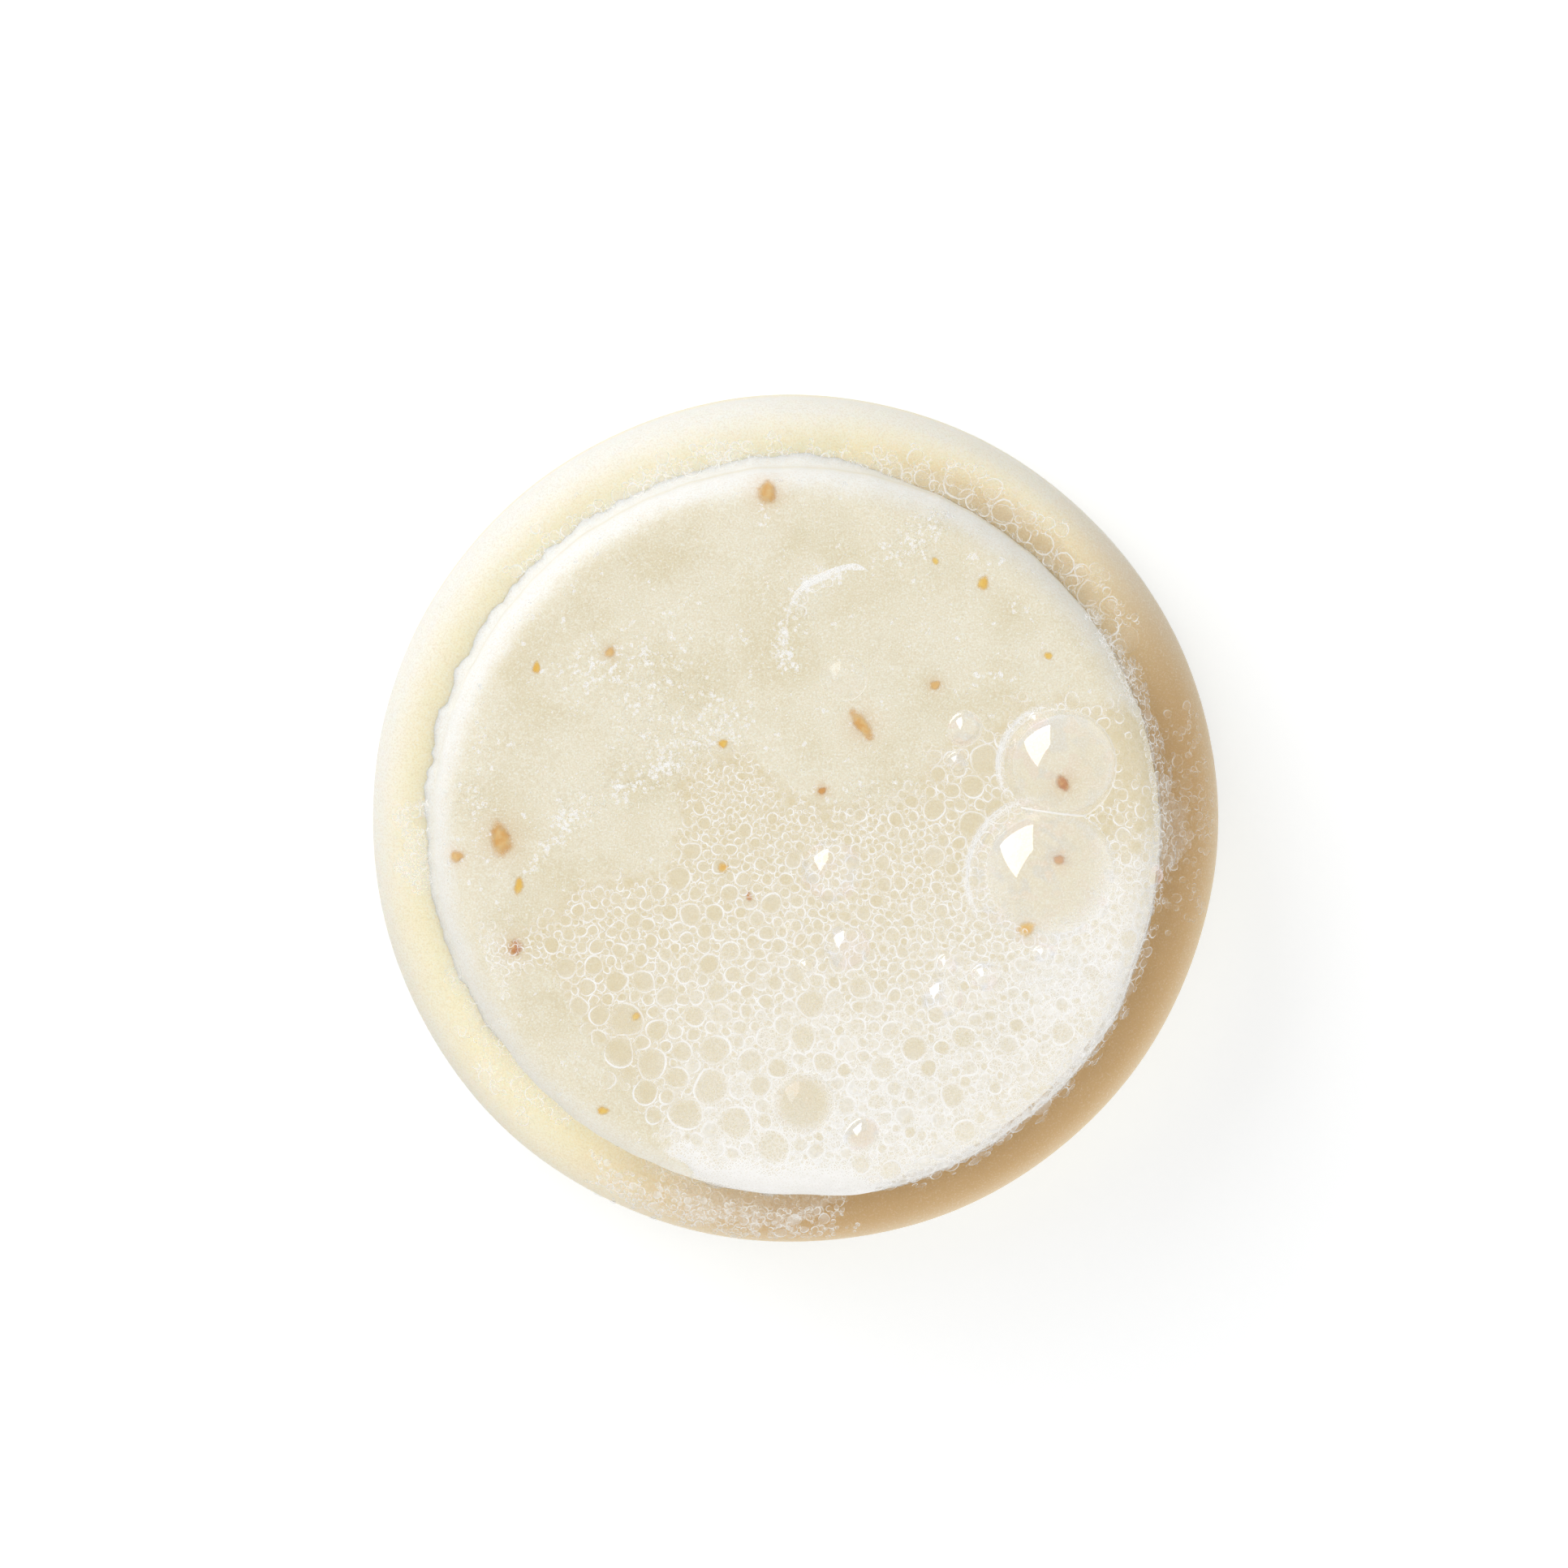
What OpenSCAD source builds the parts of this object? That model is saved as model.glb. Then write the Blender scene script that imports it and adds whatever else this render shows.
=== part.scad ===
// Shaving soap puck: a wide base layer, a narrower raised face layer with plant flakes set into it,
// and the lather that a wet brush has left on the face and in the step between the two layers.
// Millimetres. The origin is the centre of the flat underside, and +Z points out of the face.

/* [Soap layers] */
// Diameter of the raised face layer
face_d = 59.5; // [48:0.5:72]
// Height of the face layer above the ledge
face_h = 9; // [6:0.5:14]
// Rounding of the face layer's shoulder
face_round = 3; // [1.5:0.25:4]
// Width of the ledge that the base layer leaves around the face layer
ledge_w = 5.25; // [4.5:0.25:9]
// Height of the base layer
base_h = 14; // [9:0.5:22]
// Rounding of the base layer's upper rim
rim_round = 3.5; // [1.5:0.25:4]
// Rounding of the base layer's lower edge
foot_round = 2.5; // [1:0.25:4]

/* [Plant flakes] */
// Depth of the pockets that the flakes sit in
flake_depth = 0.9; // [0.7:0.1:1.6]
// How much narrower one end of a flake is, as a share
flake_taper = 0.3; // [0:0.05:0.5]

/* [Lather on the face] */
// Thickness of the thin lather spread over the face
spread_t = 0.7; // [0.4:0.1:1.4]
// Height of the thick lather bank above the face
bank_t = 1.5; // [0.8:0.1:3]
// How far the bank hangs out past the face layer's wall
bank_overhang = 1; // [0.5:0.1:2]
// How far the bank runs down the face layer's wall
bank_drop = 4; // [3.5:0.25:5]
// Rounding of the bank's outer upper edge
bank_round = 1.2; // [0.5:0.1:2]
// Thickness of the film of a large bubble
film_t = 0.25; // [0.15:0.05:0.4]
// Height of a large bubble as a share of its radius
dome_rise = 0.6; // [0.3:0.05:0.9]
// Half width of the bead that a burst bubble has left
burst_bead = 0.4; // [0.2:0.05:0.7]

/* [Lather cells] */
// Distance between neighbouring cells
cell_pitch = 2; // [1.5:0.1:4]
// Radius of the largest cell
cell_r = 0.85; // [0.4:0.05:0.85]
// Radius of the smallest cell, as a share of the largest
cell_least = 0.5; // [0.3:0.05:0.9]
// Height of a cell as a share of its radius
cell_rise = 0.55; // [0.3:0.05:0.9]

/* [Froth on the ledge] */
// Size of the froth's cells, as a share of the room on its flat top
froth_cell_fill = 0.9; // [0.5:0.05:0.95]
// Height of the froth that lies in the step
froth_h = 1.8; // [1:0.1:3]
// Rounding of the froth's upper edge
froth_round = 1; // [0.4:0.1:1.4]

/* [Hidden] */
$fn = 64;

face_r = face_d / 2;
base_r = face_r + ledge_w;
face_top = base_h + face_h;
flat_r = face_r - face_round;
spread_top = face_top + spread_t;
bank_top = face_top + bank_t;
bank_r = face_r + bank_overhang;
ledge_round = min(rim_round, ledge_w);
trim = 1;
golden_angle = 137.508;
// A sunflower pattern's nearest neighbours are about this many times its scale apart
sunflower_gap = 1.7;
flake_sides = 14;

soap_base_colour = "#f6ecc9";
soap_face_colour = "#ece3ca";
tan_colour = "#cf9a5a";
gold_colour = "#dcab45";
brown_colour = "#a8693c";
lather_colour = "#fbfaf5";
film_colour = [1, 1, 1, 0.45];

// Flakes that show on the face: [x, y] in face radii, then length and width in mm, then turn in degrees
tan_flake_places = [
    [-0.81, -0.01, 3.1, 1.8, 105], [-0.08, 0.94, 2.4, 1.6, 90], [0.18, 0.30, 3.2, 1.2, -55],
    [-0.93, -0.06, 1.3, 1.0, 10], [-0.51, 0.50, 1.0, 0.8, 60], [0.38, 0.41, 1.0, 0.8, 20]
];
gold_flake_places = [
    [-0.53, -0.76, 1.1, 0.8, 0], [-0.76, -0.14, 1.6, 0.8, 80], [-0.20, 0.25, 0.9, 0.8, 30],
    [-0.20, -0.09, 1.0, 0.9, 0], [0.51, 0.69, 1.3, 1.0, 70], [-0.71, 0.46, 1.2, 0.7, 85],
    [-0.44, -0.50, 0.9, 0.7, 40], [0.63, -0.26, 1.7, 1.3, 25], [0.69, 0.49, 0.8, 0.7, 0],
    [0.38, 0.75, 0.8, 0.6, 120]
];
brown_flake_places = [
    [-0.77, -0.31, 1.5, 1.2, 70], [0.73, 0.14, 1.5, 1.0, -60], [0.72, -0.07, 1.0, 0.9, 0],
    [-0.13, -0.17, 0.9, 0.5, 100], [0.07, 0.12, 0.8, 0.6, 30]
];

// Round lobes that the lather is made of: [x, y, radius] in face radii
spread_lobes = [
    [0.38, -0.50, 0.67], [0.71, 0.01, 0.34], [-0.40, -0.42, 0.32], [-0.05, -0.15, 0.27],
    [0.38, 0.05, 0.22], [-0.79, -0.34, 0.11], [-0.27, -0.72, 0.29], [-0.22, 0.08, 0.13]
];
bank_lobes = [[0.75, -0.58, 0.22], [0.55, -0.78, 0.26], [0.25, -0.92, 0.20]];

// Large bubbles: [x, y, radius] in face radii
dome_places = [
    [0.10, -0.10, 0.087], [0.14, -0.31, 0.064], [0.02, -0.74, 0.087], [0.40, -0.45, 0.060],
    [-0.01, -0.27, 0.040]
];
// The two bubbles that share a flat film: [x, y, radius] in face radii
twin_places = [[0.72, 0.19, 0.157], [0.68, -0.115, 0.201]];
lone_bubble_place = [0.13, 0.43, 0.065];
// Bead left by a burst bubble: centre and radius in face radii, then the arc's start and sweep in degrees
burst_place = [0.17, 0.52, 0.206, 83, 142];

// Froth patches in the step: direction and half span in degrees, then reach as a share of the ledge
froth_right_place = [0, 11, 0.55];
froth_upper_right_place = [50, 36, 0.62];
froth_top_place = [108, 18, 0.42];
froth_left_place = [184, 9, 0.66];
froth_lower_left_place = [219, 20, 0.60];
froth_bottom_place = [263, 19, 0.80];
froth_places = [
    froth_right_place, froth_upper_right_place, froth_top_place,
    froth_left_place, froth_lower_left_place, froth_bottom_place
];

// A point of the face, from its place in face radii
function on_face(place) = face_r * [place.x, place.y];
function on_lobe(point, r, lobe) = norm(point - on_face(lobe)) + r <= face_r * lobe[2];
function off_lobe(point, r, lobe) = norm(point - on_face(lobe)) - r >= face_r * lobe[2];
function on_some(point, r, lobes) = max([for (lobe = lobes) on_lobe(point, r, lobe) ? 1 : 0]) == 1;
function off_all(point, r, lobes) = min([for (lobe = lobes) off_lobe(point, r, lobe) ? 1 : 0]) == 1;
// Radius of the sphere whose cap has this foot radius and height
function cap_sphere(foot_r, rise) = (foot_r * foot_r + rise * rise) / (2 * rise);
// A froth patch is round. It reaches its share of the ledge, and meets the wall at its half span.
function patch_reach(place) = place[2] * ledge_w;
function patch_shift(place) =
    let (reach = patch_reach(place))
    reach * (reach + 2 * face_r) / (2 * (face_r * (1 - cos(place[1])) + reach));
function patch_r(place) = face_r + patch_reach(place) - patch_shift(place);
function patch_round(place) = min(froth_round, patch_r(place) / 2);
// How far from the axis the flat top of a patch ends, at an angle from the patch's direction
function patch_edge(place, turn) =
    let (shift = patch_shift(place), flat = patch_r(place) - patch_round(place))
    shift * cos(turn) + sqrt(max(0, flat * flat - pow(shift * sin(turn), 2)));

// The two bubbles that meet have their centres at one depth, so the film between them is upright
twin_foot_r = face_r * twin_places[1][2];
twin_sink = cap_sphere(twin_foot_r, twin_foot_r * dome_rise) - twin_foot_r * dome_rise;

// Cells in a sunflower pattern over the face: [x, y, radius] in mm
cell_scale = cell_pitch / sunflower_gap;
cell_count = floor(pow(bank_r / cell_scale, 2));
cell_chance = rands(cell_least, 1, cell_count, 7);
cells = [
    for (k = [0 : cell_count - 1])
        let (reach = cell_scale * sqrt(k + 0.5))
        [reach * cos(k * golden_angle), reach * sin(k * golden_angle), cell_r * cell_chance[k]]
];
spread_cell_list = [
    for (c = cells)
        let (p = [c.x, c.y])
        if (norm(p) + c.z <= flat_r && on_some(p, c.z, spread_lobes)
            && off_all(p, c.z, bank_lobes) && off_all(p, c.z, concat(dome_places, twin_places))) c
];
bank_cell_list = [
    for (c = cells)
        let (p = [c.x, c.y])
        if (norm(p) + c.z <= bank_r - bank_round && on_some(p, c.z, bank_lobes)) c
];

// A row of cells along the flat top of every froth patch: [x, y, radius] in mm
froth_step = 360 * cell_pitch / (2 * PI * face_r);
froth_cell_list = [
    for (place = froth_places)
        for (k = [-floor(place[1] / froth_step) : floor(place[1] / froth_step)])
            let (edge = patch_edge(place, k * froth_step))
            let (mid = (edge + face_r) / 2)
            let (r = min(cell_r, (edge - face_r) / 2) * froth_cell_fill)
            if (r > cell_r * cell_least / 2)
                [mid * cos(place[0] + k * froth_step), mid * sin(place[0] + k * froth_step), r]
];

// What is cut off a square corner to round it
module corner_cut(r) {
    difference() {
        square(r + trim);
        circle(r);
    }
}

// Half section of a round slab: radius, height, and the rounding of its upper and lower edges
module slab_section(r, h, top_round, bottom_round) {
    difference() {
        square([r, h]);
        translate([r - top_round, h - top_round]) corner_cut(top_round);
        if (bottom_round > 0)
            translate([r - bottom_round, bottom_round]) mirror([0, 1]) corner_cut(bottom_round);
    }
}

module slab(r, h, top_round, bottom_round = 0) {
    rotate_extrude() slab_section(r, h, top_round, bottom_round);
}

module base_body() {
    slab(base_r, base_h, ledge_round, foot_round);
}

// The face layer's outer form, run down into the base layer by the given depth
module face_body(sink = 0) {
    translate([0, 0, base_h - sink]) slab(face_r, face_h + sink, face_round);
}

module lobes(places) {
    for (p = places)
        translate(on_face(p)) circle(face_r * p[2]);
}

// Outline of a flake: an oval whose one end is narrower
module flake_outline(length, width) {
    polygon([
        for (k = [0 : flake_sides - 1])
            let (a = 360 * k / flake_sides)
            [length / 2 * cos(a), width / 2 * sin(a) * (1 - flake_taper * cos(a))]
    ]);
}

// The pockets that a list of flakes fills, open at the face
module flake_pockets(places) {
    for (p = places)
        translate([face_r * p.x, face_r * p.y, face_top - flake_depth])
            rotate([0, 0, p[4]])
                linear_extrude(flake_depth + trim) flake_outline(p[2], p[3]);
}

module flakes(places) {
    intersection() {
        flake_pockets(places);
        face_body();
    }
}

// A part of a ball that stands on z = 0
module cap(foot_r, rise) {
    ball_r = cap_sphere(foot_r, rise);
    intersection() {
        translate([0, 0, rise - ball_r]) sphere(ball_r);
        cylinder(h = rise + trim, r = foot_r + trim);
    }
}

// A hollow bubble that stands on z = 0
module bubble(foot_r) {
    rise = foot_r * dome_rise;
    ball_r = cap_sphere(foot_r, rise);
    difference() {
        cap(foot_r, rise);
        translate([0, 0, rise - ball_r]) sphere(ball_r - film_t);
    }
}

// One of the two bubbles that meet, as a whole ball, smaller by the inset
module twin_ball(place, inset) {
    translate([face_r * place.x, face_r * place.y, -twin_sink])
        sphere(norm([face_r * place[2], twin_sink]) - inset);
}

// What lies beyond the flat film of the two bubbles, seen from the first, and a step further on
module beyond_film(step) {
    a = on_face(twin_places[0]);
    b = on_face(twin_places[1]);
    gap = norm(b - a);
    first_r = face_r * twin_places[0][2];
    film_at = (gap * gap + first_r * first_r - twin_foot_r * twin_foot_r) / (2 * gap);
    translate(a)
        rotate([0, 0, atan2(b.y - a.y, b.x - a.x)])
            translate([film_at + step, -face_r, -face_r]) cube(2 * face_r);
}

module cell_group(list, z) {
    for (c = list)
        translate([c.x, c.y, z]) cap(c.z, c.z * cell_rise);
}

// A round froth patch that leans on the face layer's wall and lies on the ledge
module froth_patch(place) {
    color(lather_colour)
        difference() {
            rotate([0, 0, place[0]])
                translate([patch_shift(place), 0, base_h - trim])
                    slab(patch_r(place), froth_h + trim, patch_round(place));
            base_body();
            face_body(2 * trim);
        }
}

module base_layer() {
    color(soap_base_colour) base_body();
}

module face_layer() {
    color(soap_face_colour)
        difference() {
            face_body();
            flake_pockets(tan_flake_places);
            flake_pockets(gold_flake_places);
            flake_pockets(brown_flake_places);
        }
}

module tan_flakes() {
    color(tan_colour) flakes(tan_flake_places);
}

module gold_flakes() {
    color(gold_colour) flakes(gold_flake_places);
}

module brown_flakes() {
    color(brown_colour) flakes(brown_flake_places);
}

module lather_spread() {
    color(lather_colour)
        translate([0, 0, face_top])
            linear_extrude(spread_t)
                difference() {
                    intersection() {
                        circle(flat_r);
                        lobes(spread_lobes);
                    }
                    lobes(bank_lobes);
                }
}

module lather_bank() {
    color(lather_colour)
        difference() {
            intersection() {
                translate([0, 0, face_top - bank_drop]) slab(bank_r, bank_drop + bank_t, bank_round);
                linear_extrude(bank_top + trim) lobes(bank_lobes);
            }
            face_body();
        }
}

module spread_cells() {
    color(film_colour) cell_group(spread_cell_list, spread_top);
}

module bank_cells() {
    color(film_colour) cell_group(bank_cell_list, bank_top);
}

// Two large bubbles that meet in one flat film
module twin_bubble() {
    color(film_colour)
        translate([0, 0, spread_top])
            difference() {
                intersection() {
                    union() {
                        twin_ball(twin_places[0], 0);
                        twin_ball(twin_places[1], 0);
                    }
                    cylinder(h = face_r, r = 2 * face_r);
                }
                difference() {
                    twin_ball(twin_places[0], film_t);
                    beyond_film(-film_t / 2);
                }
                intersection() {
                    twin_ball(twin_places[1], film_t);
                    beyond_film(film_t / 2);
                }
            }
}

module dome_bubbles() {
    color(film_colour)
        for (p = dome_places)
            translate([face_r * p.x, face_r * p.y, spread_top]) bubble(face_r * p[2]);
}

module froth_cells() {
    color(film_colour) cell_group(froth_cell_list, base_h + froth_h);
}

module lone_bubble() {
    color(film_colour)
        translate([face_r * lone_bubble_place.x, face_r * lone_bubble_place.y, face_top])
            bubble(face_r * lone_bubble_place[2]);
}

module burst_rim() {
    color(lather_colour)
        translate([face_r * burst_place.x, face_r * burst_place.y, face_top])
            rotate([0, 0, burst_place[3]])
                rotate_extrude(angle = burst_place[4])
                    intersection() {
                        translate([face_r * burst_place[2], 0]) circle(burst_bead);
                        square([face_r, burst_bead + trim]);
                    }
}

base_layer();
face_layer();
tan_flakes();
gold_flakes();
brown_flakes();
lather_spread();
lather_bank();
spread_cells();
bank_cells();
twin_bubble();
dome_bubbles();
lone_bubble();
burst_rim();
froth_patch(froth_right_place);  // froth_right
froth_patch(froth_upper_right_place);  // froth_upper_right
froth_patch(froth_top_place);  // froth_top
froth_patch(froth_left_place);  // froth_left
froth_patch(froth_lower_left_place);  // froth_lower_left
froth_patch(froth_bottom_place);  // froth_bottom
froth_cells();
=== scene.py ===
"""Looks of the shaving soap puck: two soap layers, plant flakes, lather and bubbles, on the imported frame.

Lengths are in millimetres up to the moment a mesh is made. Most pieces lie on a soap layer's upper
side, so they are laid out on that side unrolled flat (u to the picture's right, v to its top) and
then wrapped onto it.
"""
import math

import bpy
import numpy as np
from mathutils import Matrix, Vector


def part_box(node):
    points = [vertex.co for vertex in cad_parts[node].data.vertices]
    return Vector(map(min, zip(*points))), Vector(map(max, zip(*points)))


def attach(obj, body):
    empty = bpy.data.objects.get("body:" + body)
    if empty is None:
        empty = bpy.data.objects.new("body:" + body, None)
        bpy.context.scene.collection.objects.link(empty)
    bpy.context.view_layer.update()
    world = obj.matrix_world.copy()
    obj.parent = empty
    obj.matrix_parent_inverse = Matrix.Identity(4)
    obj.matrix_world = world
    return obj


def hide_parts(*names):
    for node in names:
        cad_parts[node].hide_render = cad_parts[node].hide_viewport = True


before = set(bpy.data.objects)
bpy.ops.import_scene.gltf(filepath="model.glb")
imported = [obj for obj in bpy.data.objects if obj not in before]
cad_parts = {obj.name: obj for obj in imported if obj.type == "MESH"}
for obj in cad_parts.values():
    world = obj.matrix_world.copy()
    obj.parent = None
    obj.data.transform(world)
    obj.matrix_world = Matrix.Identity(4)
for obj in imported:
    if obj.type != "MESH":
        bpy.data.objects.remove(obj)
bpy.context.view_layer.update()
scene = bpy.context.scene
scene.view_settings.view_transform = "Standard"

MM = 0.001
TURN = 2 * np.pi
TINY, FAR = 1e-9, 1e9

# Sizes of the solids: read from the frame where a box shows them, and repeated from the source where not
BASE_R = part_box("base_layer")[1].x / MM
BASE_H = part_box("base_layer")[1].z / MM
FACE_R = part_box("face_layer")[1].x / MM
FACE_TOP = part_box("face_layer")[1].z / MM
LEDGE_W = BASE_R - FACE_R
FACE_ROUND, RIM_ROUND, FOOT_ROUND = 3.0, 3.5, 2.5
SPREAD_T, BANK_T, FILM_RISE, FROTH_H = 0.7, 1.5, 0.6, 1.8

# Places repeated from the source: [x, y, radius] in face radii
BANK_LOBES = np.array([[0.75, -0.58, 0.22], [0.55, -0.78, 0.26], [0.25, -0.92, 0.20]]) * FACE_R
DOMES = np.array([
    [0.10, -0.10, 0.087], [0.14, -0.31, 0.064], [0.02, -0.74, 0.087], [0.40, -0.45, 0.060],
    [-0.01, -0.27, 0.040]]) * FACE_R
TWINS = np.array([[0.72, 0.19, 0.157], [0.68, -0.115, 0.201]]) * FACE_R
LONE = np.array([[0.13, 0.43, 0.065]]) * FACE_R
BURST = np.array([0.17, 0.52, 0.206]) * FACE_R
BURST_ARC = np.radians([83, 83 + 142])
# Flakes: x and y in face radii, length and width in mm, turn in degrees
TAN_FLAKES = np.array([
    [-0.81, -0.01, 3.1, 1.8, 105], [-0.08, 0.94, 2.4, 1.6, 90], [0.18, 0.30, 3.2, 1.2, -55],
    [-0.93, -0.06, 1.3, 1.0, 10], [-0.51, 0.50, 1.0, 0.8, 60], [0.38, 0.41, 1.0, 0.8, 20]])
GOLD_FLAKES = np.array([
    [-0.53, -0.76, 1.1, 0.8, 0], [-0.76, -0.14, 1.6, 0.8, 80], [-0.20, 0.25, 0.9, 0.8, 30],
    [-0.20, -0.09, 1.0, 0.9, 0], [0.51, 0.69, 1.3, 1.0, 70], [-0.71, 0.46, 1.2, 0.7, 85],
    [-0.44, -0.50, 0.9, 0.7, 40], [0.63, -0.26, 1.7, 1.3, 25], [0.69, 0.49, 0.8, 0.7, 0],
    [0.38, 0.75, 0.8, 0.6, 120]])
BROWN_FLAKES = np.array([
    [-0.77, -0.31, 1.5, 1.2, 70], [0.73, 0.14, 1.5, 1.0, -60], [0.72, -0.07, 1.0, 0.9, 0],
    [-0.13, -0.17, 0.9, 0.5, 100], [0.07, 0.12, 0.8, 0.6, 30]])
# Froth patches: direction and half span in degrees, reach as a share of the ledge
FROTH = {
    "froth_right": (0, 11, 0.55), "froth_upper_right": (50, 36, 0.62), "froth_top": (108, 18, 0.42),
    "froth_left": (184, 9, 0.66), "froth_lower_left": (219, 20, 0.60), "froth_bottom": (263, 19, 0.80)}


# Layout on the soap

class Layer:
    """The upper side of a soap layer: a flat disc, then a quarter round, then the wall going down."""

    def __init__(self, outer_r, corner, top):
        self.flat_r, self.corner, self.top = outer_r - corner, corner, top
        self.wall_s = self.flat_r + corner * np.pi / 2

    def unroll(self, x, y):
        """From a place seen from above to its place on the unrolled side."""
        rho = np.maximum(np.hypot(x, y), TINY)
        lean = np.clip((rho - self.flat_r) / self.corner, 0, 1)
        s = np.minimum(rho, self.flat_r) + self.corner * np.arcsin(lean)
        return x * s / rho, y * s / rho

    def spread(self, u, v):
        """Of places on the unrolled side: distance from its middle, x and y of the way there, and the bend.

        The bend is how far the side has turned from level there, in radians.
        """
        s = np.maximum(np.hypot(u, v), TINY)
        return s, u / s, v / s, np.clip((s - self.flat_r) / self.corner, 0, np.pi / 2)

    def from_above(self, u, v):
        """x and y of places on the unrolled side."""
        s, c, d, bend = self.spread(u, v)
        rho = np.minimum(s, self.flat_r) + self.corner * np.sin(bend)
        return c * rho, d * rho

    def axes(self, u, v):
        """Outward, sideways and upright unit vectors of the side at places on it."""
        _, c, d, bend = self.spread(u, v)
        out = np.stack([c * np.cos(bend), d * np.cos(bend), -np.sin(bend)], -1)
        side = np.stack([-d, c, np.zeros_like(c)], -1)
        up = np.stack([c * np.sin(bend), d * np.sin(bend), np.cos(bend)], -1)
        return out, side, up

    def wrap(self, u, v, lift=0.0):
        """Points of the side at places on it, raised off the soap by a lift along the side's own upright."""
        s, c, d, bend = self.spread(u, v)
        fall = np.maximum(s - self.wall_s, 0)
        rho = np.minimum(s, self.flat_r) + (self.corner + lift) * np.sin(bend)
        z = self.top - self.corner * (1 - np.cos(bend)) - fall + lift * np.cos(bend)
        return np.stack([c * rho, d * rho, z + swell(u, v, s, self)], -1)


def ripple(x, y, wave, seed, count=11):
    """Sum of plane waves of random way, length and phase; it stays mostly between -1 and 1."""
    draw = np.random.default_rng(seed)
    way, phase = draw.uniform(0, TURN, (2, count))
    k = TURN / (wave * draw.uniform(0.65, 1.6, count))
    x, y = np.asarray(x)[..., None], np.asarray(y)[..., None]
    return np.sin(k * (x * np.cos(way) + y * np.sin(way)) + phase).sum(-1) / math.sqrt(count)


def ease(t):
    """Smooth step from 0 to 1."""
    t = np.clip(t, 0, 1)
    return t * t * (3 - 2 * t)


def swell(u, v, s, layer):
    """Hand-cut waviness of a layer's upper side, in mm: long waves and shallow dents, gone on the wall."""
    fade = 1 - ease((s - layer.flat_r) / layer.corner)
    return fade * (0.07 * ripple(u, v, 14, 3) + 0.03 * ripple(u, v, 4.5, 4))


FACE = Layer(FACE_R, FACE_ROUND, FACE_TOP)
LEDGE = Layer(BASE_R, RIM_ROUND, BASE_H)


def inside(x, y, lobes):
    """How deep a place lies in a union of round lobes, in mm; negative outside."""
    x, y = np.asarray(x)[..., None], np.asarray(y)[..., None]
    return (lobes[:, 2] - np.hypot(x - lobes[:, 0], y - lobes[:, 1])).max(-1)


def inside_outline(x, y, corners):
    """Distance in mm from places to a closed outline of straight runs: positive inside, negative outside."""
    near = np.full(np.shape(x), FAR)
    odd = np.zeros(np.shape(x), bool)
    for (x0, y0), (x1, y1) in zip(corners, np.roll(corners, -1, 0)):
        ex, ey = x1 - x0, y1 - y0
        t = np.clip(((x - x0) * ex + (y - y0) * ey) / (ex * ex + ey * ey), 0, 1)
        near = np.minimum(near, np.hypot(x - x0 - t * ex, y - y0 - t * ey))
        odd ^= ((y0 > y) != (y1 > y)) & (x < (y - y0) * ex / (ey or TINY) + x0)
    return np.where(odd, near, -near)


# Meshes

def make_piece(name, points, faces, finish, slot, nodes=(), shade=True, **fields):
    """One piece from points in mm, arrays of faces, and named values per point.

    Froth lets light through, so its pieces are made with no shade.
    """
    mesh = bpy.data.meshes.new(name)
    points = np.asarray(points, float).reshape(-1, 3) * MM
    corners = np.concatenate([f.ravel() for f in faces]).astype(np.int32)
    sides = np.concatenate([np.full(len(f), f.shape[1]) for f in faces])
    mesh.vertices.add(len(points))
    mesh.vertices.foreach_set("co", points.ravel().astype(np.float32))
    mesh.loops.add(len(corners))
    mesh.loops.foreach_set("vertex_index", corners)
    mesh.polygons.add(len(sides))
    mesh.polygons.foreach_set("loop_start", (np.cumsum(sides) - sides).astype(np.int32))
    mesh.polygons.foreach_set("use_smooth", np.ones(len(sides), bool))
    for key, values in fields.items():
        field = mesh.attributes.new(key, "FLOAT", "POINT")
        field.data.foreach_set("value", np.asarray(values, np.float32).ravel())
    mesh.update(calc_edges=True)
    mesh.validate()
    mesh.materials.append(finish)
    piece = bpy.data.objects.new(name, mesh)
    scene.collection.objects.link(piece)
    piece.visible_shadow = piece.visible_diffuse = shade
    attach(piece, "root")
    if nodes:
        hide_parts(*nodes)


def ring(count):
    """Evenly spaced directions, once round."""
    return np.linspace(0, TURN, count, endpoint=False)


def grid_faces(rows, cols, closed=False):
    """Quads of a grid of points, whose columns may close on themselves."""
    i, j = np.meshgrid(np.arange(rows - 1), np.arange(cols if closed else cols - 1), indexing="ij")
    k = (j + 1) % cols
    return np.stack([i * cols + j, i * cols + k, (i + 1) * cols + k, (i + 1) * cols + j], -1).reshape(-1, 4)


def turned_faces(rows, cols):
    """Faces of a turned solid: one point below, rows of closed rings going up, one point on top."""
    j = np.arange(cols)
    k = (j + 1) % cols
    last = 1 + rows * cols
    low = np.stack([np.zeros(cols, int), 1 + k, 1 + j], -1)
    high = np.stack([np.full(cols, last), last - cols + j, last - cols + k], -1)
    return [low, 1 + grid_faces(rows, cols, True), high]


def dome_faces(rows, cols):
    """Faces of a dome: one point on top, then rows of closed rings going down."""
    j = np.arange(cols)
    cap = np.stack([np.zeros(cols, int), 1 + j, 1 + (j + 1) % cols], -1)
    return [cap, 1 + grid_faces(rows, cols, True)[:, ::-1]]


def copies(template, count, size):
    """A template's faces repeated for a number of copies of so many points each."""
    step = np.arange(count)[:, None, None] * size
    return [(f[None] + step).reshape(-1, f.shape[1]) for f in template]


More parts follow.
